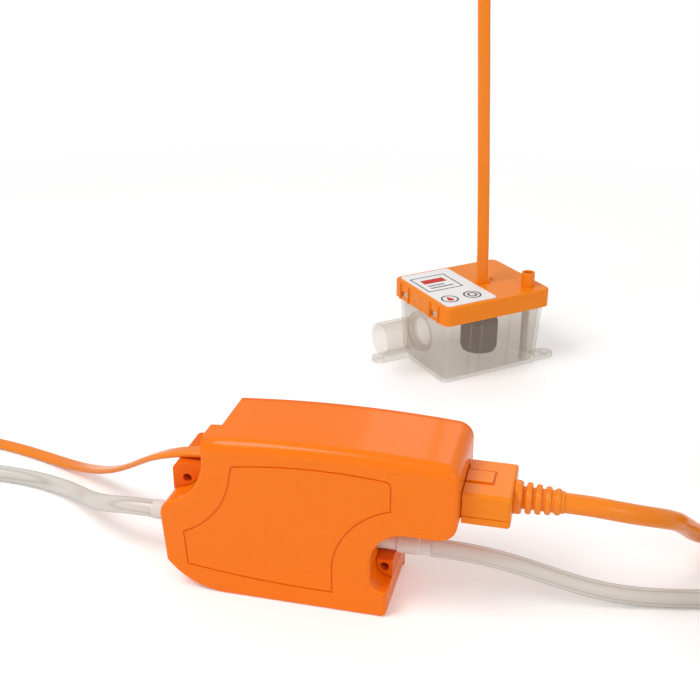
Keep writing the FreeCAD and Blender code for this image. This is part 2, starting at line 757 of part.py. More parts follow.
def pump_module():
    """The in-line solenoid pump: guide tube, coil, yoke, piston, springs, valves and mounts."""
    bore = "hose_bore_radius - 1.6"
    # Inlet fitting: sleeve outside the casing, flange for the rubber ring, nose in the guide tube.
    keep(on_axis(turned("inlet_fitting_body", [
        ("inlet_tip", bore), ("inlet_tip", "inlet_sleeve_radius"),
        ("left_end + 6", "inlet_sleeve_radius"), ("left_end + 6", "inlet_sleeve_radius + 1.4"),
        ("guide_start", "inlet_sleeve_radius + 1.4"), ("guide_start", "guide_bore_radius - 0.05"),
        ("inlet_nose_end", "guide_bore_radius - 0.05"), ("inlet_nose_end", "ball_radius + 0.4"),
        ("guide_start + 3", "ball_radius + 0.4"), ("guide_start + 3", bore),
    ])), "inlet_fitting")
    keep(on_axis(turned("outlet_fitting_body", [
        ("outlet_nose_start", bore), ("outlet_nose_start", "guide_bore_radius - 0.05"),
        ("guide_end", "guide_bore_radius - 0.05"), ("guide_end", "inlet_sleeve_radius + 1.4"),
        ("outlet_neck_start", "inlet_sleeve_radius + 1.4"), ("outlet_neck_start", "outlet_ring_radius - 0.4"),
        ("outlet_tip", "outlet_ring_radius - 0.4"), ("outlet_tip", bore),
        ("guide_end + 5", bore), ("guide_end + 5", "ball_radius + 0.4"),
        ("guide_end", "ball_radius + 0.4"), ("guide_end", bore),
    ])), "outlet_fitting")
    keep(on_axis(turned("hose_cap_body", [
        ("outlet_cap_start", "outlet_ring_radius - 0.4"), ("outlet_cap_start", "outlet_cap_radius - 0.6"),
        ("outlet_cap_start + 0.6", "outlet_cap_radius"), ("outlet_cap_end - 0.8", "outlet_cap_radius"),
        ("outlet_cap_end", "outlet_cap_radius - 0.8"), ("outlet_cap_end", "outlet_ring_radius"),
        ("outlet_tip", "outlet_ring_radius"), ("outlet_tip", "outlet_ring_radius - 0.4"),
    ])), "hose_cap")
    keep(on_axis(turned("guide_tube_body", [
        ("guide_start", "guide_bore_radius"), ("guide_start", "guide_radius"),
        ("guide_end", "guide_radius"), ("guide_end", "guide_bore_radius"),
    ])), "guide_tube")
    flange = "coil_radius - 0.5"
    core = "guide_radius + 0.1"
    keep(on_axis(turned("bobbin_body", [
        ("coil_start - flange_thick", core), ("coil_start - flange_thick", flange),
        ("coil_start", flange), ("coil_start", "guide_radius + bobbin_wall"),
        ("coil_end", "guide_radius + bobbin_wall"), ("coil_end", flange),
        ("coil_end + flange_thick", flange), ("coil_end + flange_thick", core),
    ])), "coil_bobbin")
    keep(on_axis(turned("winding_body", [
        ("coil_start", "guide_radius + bobbin_wall"), ("coil_start", "coil_radius - 1.5"),
        ("coil_end", "coil_radius - 1.5"), ("coil_end", "guide_radius + bobbin_wall"),
    ])), "coil_winding")
    half = "coil_radius + 0.3"
    frame = box("yoke_block", "coil_length + 2 * flange_thick + 2 * yoke_thick", "2 * coil_radius",
                "2 * (coil_radius + 0.3 + yoke_thick)", "coil_start - flange_thick - yoke_thick",
                "axis_at_y - coil_radius", "axis_high - coil_radius - 0.3 - yoke_thick")
    window = box("yoke_window", "coil_length + 2 * flange_thick", "2 * coil_radius + 2",
                 "2 * (" + half + ")", "coil_start - flange_thick",
                 "axis_at_y - coil_radius - 1", "axis_high - coil_radius - 0.3")
    through = rod("yoke_bore", "x", "guide_radius + 0.05", "coil_length + 30",
                  "coil_start - 15", "axis_at_y", "axis_high")
    keep(cut("yoke_body", frame, window, through), "yoke")
    keep(on_axis(turned("piston_body", [
        ("piston_start", "piston_bore_radius"), ("piston_start", "piston_radius - 1"),
        ("piston_start + 1", "piston_radius"), ("piston_end - 1", "piston_radius"),
        ("piston_end", "piston_radius - 1"), ("piston_end", "piston_bore_radius"),
    ])), "piston")
    for side, start, stop in (
            ("inlet", "inlet_nose_end", "piston_start"),
            ("outlet", "piston_end", "outlet_nose_start")):
        keep(spring(side, mm(start), mm(stop)), "spring_" + side)
    for side, x in (("inlet", "inlet_ring_start"), ("outlet", "outlet_ring_start")):
        keep(on_axis(turned("rubber_ring_body_" + side, [
            (x, "inlet_sleeve_radius + 1.4"), (x, "mount_ring_radius"),
            (x + " + mount_ring_wide", "mount_ring_radius"),
            (x + " + mount_ring_wide", "inlet_sleeve_radius + 1.4"),
        ])), "rubber_ring_" + side)
    for side, x in (("inlet", "guide_start + 3 + ball_radius + 0.2"), ("outlet", "guide_end + ball_radius + 0.2")):
        ball = doc.addObject("Part::Sphere", "valve_ball_" + side + "_body")
        bind(ball, Radius="ball_radius")
        place(ball, x, "axis_at_y", "axis_high")
        keep(ball, "valve_ball_" + side)


def spring(side, start, stop):
    """A coil spring on the pump's axis between two places: round wire in short straight steps."""
    wire = mm("spring_wire")
    radius = mm("piston_bore_radius") + 1.6
    steps = int(mm("spring_turns") * SPRING_STEPS)
    run = (stop - start - wire) / steps
    middle_y = mm("axis_at_y")
    middle_z = mm("axis_high")
    points = [
        Vector(
            start + wire / 2 + i * run,
            middle_y + radius * math.cos(2 * math.pi * i / SPRING_STEPS),
            middle_z + radius * math.sin(2 * math.pi * i / SPRING_STEPS))
        for i in range(steps + 1)
    ]
    path = Part.makePolygon(points)
    section = Part.Wire([Part.makeCircle(wire / 2, points[0], points[1] - points[0])])
    thing = doc.addObject("Part::Feature", "spring_" + side + "_body")
    thing.Shape = path.makePipeShell([section], True, False, 1)
    return thing


def circuit_board():
    """The control board on its posts, and the parts soldered to it."""
    board_back = "cover_back - board_standoff"
    blank = box("board_blank", "board_length", "board_thick", "board_high",
                "left_end + board_in", board_back + " - board_thick", "board_low_high")
    holes = [
        rod("board_hole_%d" % i, "y", "1.3", "6", x, board_back + " - 4", z)
        for i, (x, z) in enumerate(board_posts())
    ]
    keep(cut("board_body", blank, *holes), "circuit_board")
    front = board_back + " - board_thick"
    low = "board_low_high + "
    start = "left_end + board_in + "
    blocks = [
        box("relay", "18", "12", "15", start + "12", front + " - 12", low + "8"),
        box("transformer", "16", "13", "16", start + "50", front + " - 13", low + "9"),
        box("lead_header", "6", "7", "10", start + "1", front + " - 7", low + "4"),
    ]
    cans = [
        rod("capacitor_%d" % i, "y", "4", "13", start + str(x), front + " - 13", low + "20")
        for i, x in enumerate((36, 45))
    ]
    fuse_body = rod("fuse_link", "x", "2.5", "12", start + "32", front + " - 2.5", low + "7")
    keep(group("board_part_set", *blocks, *cans, fuse_body), "board_parts")


def power_inlet():
    """The socket behind the opening in the right wall, with three round pins."""
    outer = box("socket_outer", "right_end - cover_wall - socket_floor + socket_wall",
                "nose_wide + 2 * nose_clear + 2 * socket_wall", "nose_tall + 2 * nose_clear + 2 * socket_wall",
                "socket_floor - socket_wall", "plug_at_y - nose_wide / 2 - nose_clear - socket_wall",
                "plug_middle_high - nose_tall / 2 - nose_clear - socket_wall")
    hollow = box("socket_hollow", "nose_length + 4", "nose_wide + 2 * nose_clear", "nose_tall + 2 * nose_clear",
                 "socket_floor", "plug_at_y - nose_wide / 2 - nose_clear",
                 "plug_middle_high - nose_tall / 2 - nose_clear")
    relief = box("socket_relief", "2", "plug_width + 4", "3", "right_end - cover_wall - 1.2",
                 "plug_at_y - plug_width / 2 - 2", "under_high + lobe_radius - 4")
    keep(cut("socket_body", outer, hollow, relief), "power_socket")
    pins = [
        rod("pin_%d" % i, "x", "pin_radius", "pin_length", "socket_floor",
            "plug_at_y + %d * pin_pitch" % i, "plug_middle_high")
        for i in (-1, 0, 1)
    ]
    keep(group("pin_set", *pins), "socket_pins")


def power_plug():
    """The flat connector on the power lead, with its ribbed strain relief."""
    body = box("plug_block", "plug_length", "plug_width", "plug_tall",
               "plug_start", "plug_at_y - plug_width / 2", "plug_middle_high - plug_tall / 2")
    body = rounded("plug_soft", body, 1.6, lambda edge: edge.BoundBox.XLength > mm("plug_length") - 0.1
                   or edge.BoundBox.XMin > mm("plug_end") - 0.1)
    nose = box("plug_nose", "nose_length + 2", "nose_wide", "nose_tall",
               "nose_start", "plug_at_y - nose_wide / 2", "plug_middle_high - nose_tall / 2")
    bores = [
        rod("pin_bore_%d" % i, "x", "pin_radius + pin_clear", "pin_length + 2", "nose_start - 1",
            "plug_at_y + %d * pin_pitch" % i, "plug_middle_high")
        for i in (-1, 0, 1)
    ]
    top = "plug_middle_high + plug_tall / 2"
    slot = box("latch_slot", "plug_length - 8", "13", "1.2", "plug_start - 1", "plug_at_y - 6.5", top + " - 0.8")
    tongue = box("latch_tongue", "plug_length - 10", "10", "1.6", "plug_start", "plug_at_y - 5", top + " - 1")
    seam = box("plug_seam", "plug_length + 2", "1", "0.6", "plug_start - 1",
               "plug_at_y - plug_width / 2 - 0.5", "plug_middle_high - 0.25 * plug_tall")
    shell = cut("plug_bored", fuse("plug_nosed", body, nose), slot, seam, *bores)
    keep(fuse("plug_body", shell, tongue), "plug_shell")
    points = [("plug_end", "0"), ("plug_end", "relief_radius")]
    ribs = 5
    for i in range(ribs):
        share = "(relief_radius - %.2f * (relief_radius - relief_end_radius))" % (i / (ribs - 1))
        start = "plug_end + %.3f * relief_length" % (0.04 + 0.96 * i / ribs)
        crest = "plug_end + %.3f * relief_length" % (0.04 + 0.96 * (i + 0.3) / ribs)
        stop = "plug_end + %.3f * relief_length" % (0.04 + 0.96 * (i + 0.62) / ribs)
        valley = "plug_end + %.3f * relief_length" % (0.04 + 0.96 * (i + 0.94) / ribs)
        if i == 0:
            points[-1] = ("plug_end", share)
        else:
            points.append((start, share + " - 0.5"))
        points.append((crest, share))
        points.append((stop, share + " - 0.5"))
        points.append((stop, "lead_wide / 2 + 0.5"))
        if i < ribs - 1:
            points.append((valley, "lead_wide / 2 + 0.5"))
    points.append(("relief_end", "lead_wide / 2 + 0.5"))
    points.append(("relief_end", "0"))
    relief = turned("relief_body", points)
    keep(place(relief, 0, "plug_at_y", "plug_middle_high"), "strain_relief")


def sensor_grommet():
    """The rubber grommet in the left wall that the flat sensor lead comes out of."""
    def around(name, length, margin, start):
        return box(name, length, "flat_wide + 2 * " + margin, "flat_thick + 2 * " + margin, start,
                   "lead_slot_y - flat_wide / 2 - " + margin, "lead_slot_high - flat_thick / 2 - " + margin)
    plate = around("grommet_plate", "cover_wall + 2", "grommet_lip", "left_end + step_in - 1")
    neck = around("grommet_neck", "cover_wall", "(grommet_lip + 1)", "left_end + step_in")
    kept = around("grommet_keep", "cover_wall", "grommet_waist", "left_end + step_in")
    waist = cut("grommet_trim", neck, kept)
    slot = around("grommet_slot", "cover_wall + 6", "0", "left_end + step_in - 3")
    keep(cut("grommet_body", plate, waist, slot), "lead_grommet")


def lofted(name, grow, low, high):
    """A tapered block between two levels of the reservoir, moved out from the tank's walls by grow."""
    sections = []
    levels = (("low", low, "(1 - (" + low + ") / tank_top)"), ("high", high, "(1 - (" + high + ") / tank_top)"))
    for label, level, share in levels:
        sketch = doc.addObject("Sketcher::SketchObject", name + "_" + label)
        x0 = "rim_in - (" + grow + ") + tank_taper_long * " + share
        y0 = "rim_in - (" + grow + ") + tank_taper_wide * " + share
        polygon(sketch, [
            (x0, y0), ("lid_long - (" + x0 + ")", y0),
            ("lid_long - (" + x0 + ")", "lid_wide - (" + y0 + ")"), (x0, "lid_wide - (" + y0 + ")")])
        bind(sketch, Placement__Base__z=level)
        sections.append(sketch)
    thing = doc.addObject("Part::Loft", name)
    thing.Sections = sections
    thing.Solid = True
    thing.Ruled = True
    return thing


def upright(edge):
    """True for an edge that climbs steeply, such as the corner of a tapered wall."""
    limits = edge.BoundBox
    return limits.ZLength > 5 * max(limits.XLength, limits.YLength, 0.01)


def tank():
    """The clear tapered tank with its fixing ears, ribs and catch hooks, and its inlet spigot."""
    outside = rounded("tank_outside", lofted("tank_block", "0", "0", "tank_top"), mm("lid_corner") - 1, upright)
    hollow = rounded(
        "tank_hollow", lofted("tank_room", "-tank_wall", "tank_floor", "tank_top + 1"),
        mm("lid_corner") - 2, upright)
    spigot = rod("spigot_outer", "x", "spigot_radius", "spigot_reach + 9",
                 "-spigot_reach", "spigot_at_y", "spigot_high")
    collar = rod("spigot_collar", "x", "collar_radius", "collar_thick + rim_in",
                 "rim_in - collar_thick", "spigot_at_y", "spigot_high")
    bore = rod("spigot_bore", "x", "spigot_radius - spigot_wall", "spigot_reach + 20",
               "-spigot_reach - 1", "spigot_at_y", "spigot_high")
    added = []
    for side, x, y in (("left", "ear_left_x", "ear_left_y"), ("right", "ear_right_x", "ear_right_y")):
        added.append(rod("ear_round_" + side, "z", "ear_round", "ear_thick", x, y, "0"))
        start = x if side == "left" else "lid_long - 12"
        length = "12 - ear_left_x" if side == "left" else "ear_right_x - lid_long + 12"
        added.append(box("ear_bar_" + side, length, "2 * ear_round", "ear_thick",
                         start, y + " - ear_round", "0"))
    grown = lofted("rib_reach", "rib_proud", "4", "skirt_low - 1")
    for i, x in enumerate(("0.25 * lid_long", "0.35 * lid_long", "0.62 * lid_long")):
        strip = box("rib_strip_%d" % i, "rib_wide", "20", "lid_high", x, "-5", "0")
        rib = doc.addObject("Part::Common", "tank_rib_%d" % i)
        rib.Base = grown
        rib.Tool = strip
        added.append(rib)
    for i, y in enumerate(("latch_first_y", "latch_second_y")):
        for side, x in (("left", "rim_in - hook_proud"), ("right", "lid_long - rim_in - 1")):
            added.append(box("hook_%s_%d" % (side, i), "hook_proud + 1", "latch_wide - 3.4", "window_high - 1.2",
                             x, y + " - latch_wide / 2 + 1.7", "window_low_high + 0.5"))
    holes = [
        rod("ear_hole_left", "z", "ear_hole_radius", "ear_thick + 2", "ear_left_x", "ear_left_y", "-1"),
        rod("ear_hole_right", "z", "ear_hole_radius", "ear_thick + 2", "ear_right_x", "ear_right_y", "-1"),
    ]
    whole = fuse("tank_whole", outside, *added)
    keep(place_reservoir(cut("tank_body", whole, hollow, bore, *holes)), "tank")
    keep(place_reservoir(cut("spigot_body", fuse("spigot_whole", spigot, collar), outside, bore)), "tank_spigot")


def gasket():
    """The flat seal between the tank's rim and the lid."""
    outer = box("gasket_outer", "tank_long", "tank_wide", "gasket_thick", "rim_in", "rim_in", "tank_top")
    inner = box("gasket_inner", "tank_long - 2 * tank_wall", "tank_wide - 2 * tank_wall", "gasket_thick + 2",
                "rim_in + tank_wall", "rim_in + tank_wall", "tank_top - 1")
    ring = cut("gasket_ring", rounded("gasket_corners", outer, mm("lid_corner") - 1, upright_block), inner)
    keep(place_reservoir(ring), "lid_gasket")


def upright_block(edge):
    """True for the four upright edges of a block."""
    limits = edge.BoundBox
    return limits.XLength < 0.01 and limits.YLength < 0.01


def lid():
    """The orange lid: a skirted cap with catch windows, cable gland, sensor nub and hose spout."""
    block = box("lid_block", "lid_long", "lid_wide", "lid_skirt", "0", "0", "skirt_low")
    corners = rounded("lid_corners", block, mm("lid_corner"), upright_block)
    outside = rounded("lid_outside", corners, 1.5, lambda edge: edge.BoundBox.ZMin > mm("lid_high") - 0.01)
    hollow = rounded(
        "lid_hollow",
        box("lid_room", "lid_long - 2 * skirt_thick", "lid_wide - 2 * skirt_thick", "lid_skirt",
            "skirt_thick", "skirt_thick", "skirt_low - lid_thick"),
        mm("lid_corner") - mm("skirt_thick"), upright_block)
    cuts = [hollow]
    proud = []
    for i, y in enumerate(("latch_first_y", "latch_second_y")):
        for side in ("left", "right"):
            label = "%s_%d" % (side, i)
            middle = y
            inner_x = "latch_bar_thick" if side == "left" else "lid_long - skirt_thick - 1"
            cuts.append(box("catch_slot_" + label, "skirt_thick - latch_bar_thick + 1", "latch_wide - 2",
                            "window_low_high + window_high - skirt_low + 1", inner_x,
                            middle + " - latch_wide / 2 + 1", "skirt_low - 1"))
            window_x = "-1" if side == "left" else "lid_long - latch_bar_thick - 1"
            cuts.append(box("catch_window_" + label, "latch_bar_thick + 2", "latch_wide - 2", "window_high",
                            window_x, middle + " - latch_wide / 2 + 1", "window_low_high"))
            rib_x = "-latch_proud" if side == "left" else "lid_long - 1"
            for edge, rib_y in enumerate((" - latch_wide / 2 - latch_rib / 2", " + latch_wide / 2 - latch_rib / 2")):
                proud.append(box("catch_rib_%s_%d" % (label, edge), "latch_proud + 1", "latch_rib",
                                 "lid_skirt - 1.5", rib_x, middle + rib_y, "skirt_low"))
    spout = rod("lid_spout", "z", "spout_radius", "spout_high + lid_thick", "spout_x", "spout_y", "lid_under")
    gland = box("lid_gland", "gland_wide", "flat_thick + 3", "gland_high + 1",
                "stem_x - gland_wide / 2", "stem_y - flat_thick / 2 - 1.5", "lid_high - 1")
    nub = doc.addObject("Part::Sphere", "lid_nub")
    bind(nub, Radius="nub_radius")
    place(nub, "stem_x + 10", "stem_y + 3", "lid_high - 0.2")
    whole = fuse("lid_whole", cut("lid_cut", outside, *cuts), *proud, spout, gland, nub)
    spout_bore = rod("spout_bore", "z", "spout_bore_radius", "spout_high + lid_thick + 2",
                     "spout_x", "spout_y", "lid_under - 1")
    keep(place_reservoir(cut("lid_body", whole, spout_bore)), "lid")


def lid_fittings():
    """What hangs from the lid: the sensor stem with its clip, and the pick-up pipe with its strainer."""
    stem = rod("stem_rod", "z", "stem_radius", "lid_under - stem_foot_high", "stem_x", "stem_y", "stem_foot_high")
    groove = cut("stem_groove", rod("groove_outer", "z", "stem_radius + 1", "1.4", "stem_x", "stem_y",
                                    "float_low_high - 1.7"),
                 rod("groove_inner", "z", "stem_radius - 0.8", "1.4", "stem_x", "stem_y", "float_low_high - 1.7"))
    keep(place_reservoir(cut("stem_body", stem, groove)), "sensor_stem")
    clip = cut("clip_body", rod("clip_outer", "z", "stem_radius + 2.6", "1.2", "stem_x", "stem_y",
                                "float_low_high - 1.6"),
               rod("clip_inner", "z", "stem_radius - 0.75", "3", "stem_x", "stem_y", "float_low_high - 2.5"),
               box("clip_mouth", "10", "2 * stem_radius - 2.4", "3", "stem_x", "stem_y - stem_radius + 1.2",
                   "float_low_high - 2.5"))
    keep(place_reservoir(clip), "stem_clip")
    pipe = cut("pipe_body", rod("pipe_outer", "z", "pickup_radius", "lid_under - tank_floor - 7",
                                "spout_x", "spout_y", "tank_floor + 7"),
               rod("pipe_bore", "z", "pickup_bore_radius", "lid_high", "spout_x", "spout_y", "tank_floor"))
    keep(place_reservoir(pipe), "pickup_pipe")
    basket = cut("strainer_cup", rod("strainer_outer", "z", "strainer_radius", "6.4", "spout_x", "spout_y",
                                     "tank_floor + 0.6"),
                 rod("strainer_room", "z", "strainer_radius - 0.7", "10", "spout_x", "spout_y",
                     "tank_floor + 1.4"))
    slits = [
        box("strainer_slit_%d" % i, "2 * strainer_radius + 2", "0.8", "3.4", "spout_x - strainer_radius - 1",
            "spout_y - 0.4 + %.1f" % (i * 1.7), "tank_floor + 2")
        for i in (-1, 0, 1)
    ]
    keep(place_reservoir(cut("strainer_body", basket, *slits)), "pickup_strainer")


def float_body():
    """The float that rises on the stem, with the ring magnet set into its top."""
    bore = "stem_radius + float_bore_clear"
    high = "float_low_high + float_tall"
    low = "float_low_high"
    body = turned("float_shape", [
        (bore, low), ("float_radius - float_round", low),
        ("float_radius - 0.3 * float_round", low + " + 0.3 * float_round"),
        ("float_radius", low + " + float_round"), ("float_radius", high + " - float_round"),
        ("float_radius - 0.3 * float_round", high + " - 0.3 * float_round"),
        ("float_radius - float_round", high), ("magnet_radius + 0.1", high),
        ("magnet_radius + 0.1", high + " - magnet_tall"), (bore, high + " - magnet_tall"),
    ], along="z")
    keep(place_on_stem(body), "float")
    magnet = turned("magnet_shape", [
        (bore + " + 0.4", high + " - magnet_tall"), ("magnet_radius", high + " - magnet_tall"),
        ("magnet_radius", high + " - 0.2"), (bore + " + 0.4", high + " - 0.2"),
    ], along="z")
    keep(place_on_stem(magnet), "float_magnet")


def place_on_stem(thing):
    """Puts a piece that is turned about Z on the sensor stem, in the turned reservoir."""
    turn = "tank_turn * 1 deg"
    return place(
        thing,
        "tank_at_x + stem_x * cos(" + turn + ") - stem_y * sin(" + turn + ")",
        "tank_at_y + stem_x * sin(" + turn + ") + stem_y * cos(" + turn + ")", 0)


def label_plate():
    """The thin printed card on the left half of the lid."""
    card = box("label_card", "label_end_x - label_margin", "lid_wide - 2 * label_margin", "label_thick",
               "label_margin", "label_margin", "lid_high")
    keep(place_reservoir(rounded("label_corners", card, 3.0, upright_block)), "lid_label")


# Routes of the cords, chosen by hand from the photograph: where each leaves the object, how it
# droops to the floor and where it meets its coil. scene.py repeats them.
SENSOR_ROUTE = [
    (-43.5, -1, 65.6), (-58, -1, 65.6), (-73, 0, 62.5), (-89, 7.5, 53.5), (-105, 20.5, 39.5),
    (-124, 35.5, 25), (-145, 52.5, 12), (-167, 66, 4.2), (-190, 75, 2.2), (-216, 81.5, 2.2),
    (-248, 86, 2.2), (-285, 88, 2.2), (-322, 88, 2.2),
]
SUCTION_ROUTE = [
    (-85.5, -1, 28.5), (-99, -1, 28.5), (-113, 2.4, 25.2), (-127, 11.5, 19.5), (-141, 26, 12),
    (-158, 39.5, 6), (-180, 46.5, 4.5), (-204, 48, 4.5), (-230, 46.5, 4.5), (-257, 44, 4.5),
]
DISCHARGE_ROUTE = [
    (58, -1, 28.5), (76, -1, 28.5), (96, 1, 24.5), (116, 5, 17), (136, 10.5, 9), (158, 15.5, 4.9),
    (182, 20.5, 4.5), (206, 26.5, 4.5), (230, 31.5, 4.5), (255, 34.5, 4.5),
]
POWER_ROUTE = [
    (118.4, 2, 60.75), (131, 2, 60.75), (145, 4.9, 57.75), (158, 12.5, 52.6), (170, 25.5, 44.3),
    (176.5, 44.5, 30.5), (185, 61, 16), (198, 72.5, 8.6), (216, 79, 5.2), (236, 80.5, 4.8),
    (256, 79, 4.8), (276, 76, 4.8),
]
RISER_ROUTE = [
    (42.4, 283.5, 59.5), (42.4, 283.5, 78), (41.2, 283.2, 108), (39.9, 282.9, 141), (38.3, 282.5, 174),
    (36.9, 282.15, 207), (35.3, 281.8, 238), (34.1, 281.5, 268),
]


# Share by which a sweep may miss its section times its length.
SWEEP_TOLERANCE = 0.01


def bent_wire(name, route):
    """Straight runs through a route's points, with a tangent arc at each as large as its runs allow."""
    points = [Vector(*point) for point in route]
    edges = []
    start = points[0]
    tightest = None
    for before, corner, after in zip(points, points[1:], points[2:]):
        arriving = (corner - before).normalize()
        leaving = (after - corner).normalize()
        half_turn = arriving.getAngle(leaving) / 2
        cut_back = 0.45 * min(before.distanceToPoint(corner), corner.distanceToPoint(after))
        radius = cut_back / math.tan(half_turn)
        tightest = radius if tightest is None else min(tightest, radius)
        first = corner - arriving * cut_back
        last = corner + leaving * cut_back
        inward = (leaving - arriving).normalize()
        middle = corner + inward * (radius / math.cos(half_turn) - radius)
        edges.append(Part.LineSegment(start, first).toShape())
        edges.append(Part.Arc(first, middle, last).toShape())
        start = last
    edges.append(Part.LineSegment(start, points[-1]).toShape())
    wire = Part.Wire(edges)
    print("%s: length %.0f, tightest bend %.1f" % (name, wire.Length, tightest))
    return wire


def cord(name, route, section, area):
    """A cord's free stretch: one section swept along the bent wire of its route."""
    wire = bent_wire(name, route)
    shape = wire.makePipeShell([section], True, False)
    if abs(shape.Volume / (area * wire.Length) - 1) > SWEEP_TOLERANCE:
        raise RuntimeError("%s: the sweep's volume is %.4f of its section times its length" % (
            name, shape.Volume / (area * wire.Length)))
    thing = doc.addObject("Part::Feature", name + "_body")
    thing.Shape = shape
    return keep(thing, name)


def round_cord(name, route, radius):
    """A cord with a round section."""
    start = Vector(*route[0])
    circle = Part.Wire([Part.makeCircle(radius, start, Vector(*route[1]) - start)])
    return cord(name, route, circle, math.pi * radius ** 2)


def flat_cord(name, route, across):
    """A flat cord, whose wide side starts along a direction."""
    start = Vector(*route[0])
    along = (Vector(*route[1]) - start).normalize()
    side = (across - along * across.dot(along)).normalize()
    up = along.cross(side)
    half_wide = side * (mm("flat_wide") / 2)
    half_thick = up * (mm("flat_thick") / 2)
    corners = [
        start - half_wide - half_thick, start + half_wide - half_thick,
        start + half_wide + half_thick, start - half_wide + half_thick,
    ]
    section = Part.makePolygon(corners + [corners[0]])
    return cord(name, route, section, mm("flat_wide") * mm("flat_thick"))


def coil(name, wide, tall, radius, turns, x, y):
    """The outer shape of a neat round coil: turns on top of each other, standing on the floor."""
    top = tall + " + " + turns + " * (" + tall + " + turn_clear)"
    ring = turned(name + "_body", [
        (radius + " - " + wide + " / 2", "0"), (radius + " + " + wide + " / 2", "0"),
        (radius + " + " + wide + " / 2", top), (radius + " - " + wide + " / 2", top),
    ], along="z")
    keep(place(ring, x, y, 0), name)
    return top


def flat_coil(name, wide, outer, turns, x, y):
    """The outer shape of a flat coil, one layer high: each turn lies inside the one before it."""
    inner = outer + " - " + turns + " * (" + wide + " + turn_clear)"
    ring = turned(name + "_body", [
        (inner + " - " + wide + " / 2", "0"), (outer + " + " + wide + " / 2", "0"),
        (outer + " + " + wide + " / 2", wide), (inner + " - " + wide + " / 2", wide),
    ], along="z")
    keep(place(ring, x, y, 0), name)


def cords():
    """The flat sensor lead, both hoses, the mains lead and the flat cable that rises from the lid."""
    flat_cord("sensor_lead", SENSOR_ROUTE, Vector(0, 1, 0))
    top = coil("sensor_coil", "flat_wide", "flat_thick", "sensor_coil_radius", "sensor_coil_turns",
               "sensor_coil_x", "sensor_coil_y")
    connector = box("connector_block", "connector_long", "connector_wide", "connector_tall",
                    "sensor_coil_x", "sensor_coil_y + sensor_coil_radius - connector_wide / 2", top)
    keep(connector, "sensor_connector")
    round_cord("suction_hose", SUCTION_ROUTE, mm("hose_radius"))
    flat_coil("suction_coil", "(2 * hose_radius)", "suction_coil_outer", "suction_coil_turns",
              "suction_coil_x", "suction_coil_y")
    round_cord("discharge_hose", DISCHARGE_ROUTE, mm("hose_radius"))
    coil("discharge_coil", "(2 * hose_radius)", "(2 * hose_radius)", "hose_coil_radius",
         "discharge_coil_turns", "discharge_coil_x", "discharge_coil_y")
    round_cord("power_lead", POWER_ROUTE, mm("lead_wide") / 2)
    top = coil("power_coil", "lead_wide", "lead_wide", "power_coil_radius", "power_coil_turns",
               "power_coil_x", "power_coil_y")
    height = top + " + lead_wide / 2"
    sheath = rod("sheath_end", "x", "lead_wide / 2", "sheath_end_length",
                 "power_coil_x - sheath_end_length", "power_coil_y + power_coil_radius", height)
    cores = [
        rod("core_%d" % i, "x", "core_radius", "core_length + 1",
            "power_coil_x - sheath_end_length - core_length",
            "power_coil_y + power_coil_radius + %d * 2.2 * core_radius" % i, height)
        for i in (-1, 0, 1)
    ]
    keep(fuse("power_tail", sheath, *cores), "power_lead_end")
    flat_cord("riser_cable", RISER_ROUTE, Vector(0.97, 0.24, 0))
    x, y, z = RISER_ROUTE[-1]
    clip = box("riser_clip_block", "riser_clip_wide", "riser_clip_deep", "riser_clip_tall",
               "%g - riser_clip_wide / 2" % x, "%g - riser_clip_deep / 2" % y, "%g + riser_clip_gap" % z)
    hole = rod("riser_clip_hole", "y", "riser_clip_wide / 4", "riser_clip_deep + 4", x,
               "%g - riser_clip_deep / 2 - 2" % y, "%g + 0.6 * riser_clip_tall" % z)
    keep(cut("riser_clip_body", clip, hole), "riser_clip")


casing_line = front_sketch("casing_outline", casing_outline())
front_cover(casing_line)
rear_plate(casing_line)
casing_screws()
pump_module()
circuit_board()
power_inlet()
power_plug()
sensor_grommet()
tank()
gasket()
lid()
lid_fittings()
float_body()
label_plate()
cords()
doc.recompute()

for thing in doc.Objects:
    if "Invalid" in thing.State or "Error" in thing.State:
        raise RuntimeError("%s did not recompute: %s" % (thing.Name, thing.State))

os.makedirs("parts", exist_ok=True)
for thing in EXPORTS:
    if thing.Shape.isNull() or not thing.Shape.isValid():
        raise RuntimeError(thing.Label + " has no valid shape")
    thing.Shape.exportStep("parts/%s.step" % thing.Label)
    limits = thing.Shape.BoundBox
    print("%-18s %d solids %9.0f mm3  x %.1f %.1f  y %.1f %.1f  z %.1f %.1f" % (
        thing.Label, len(thing.Shape.Solids), thing.Shape.Volume,
        limits.XMin, limits.XMax, limits.YMin, limits.YMax, limits.ZMin, limits.ZMax))
print("%d parts" % len(EXPORTS))
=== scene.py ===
import json
import math

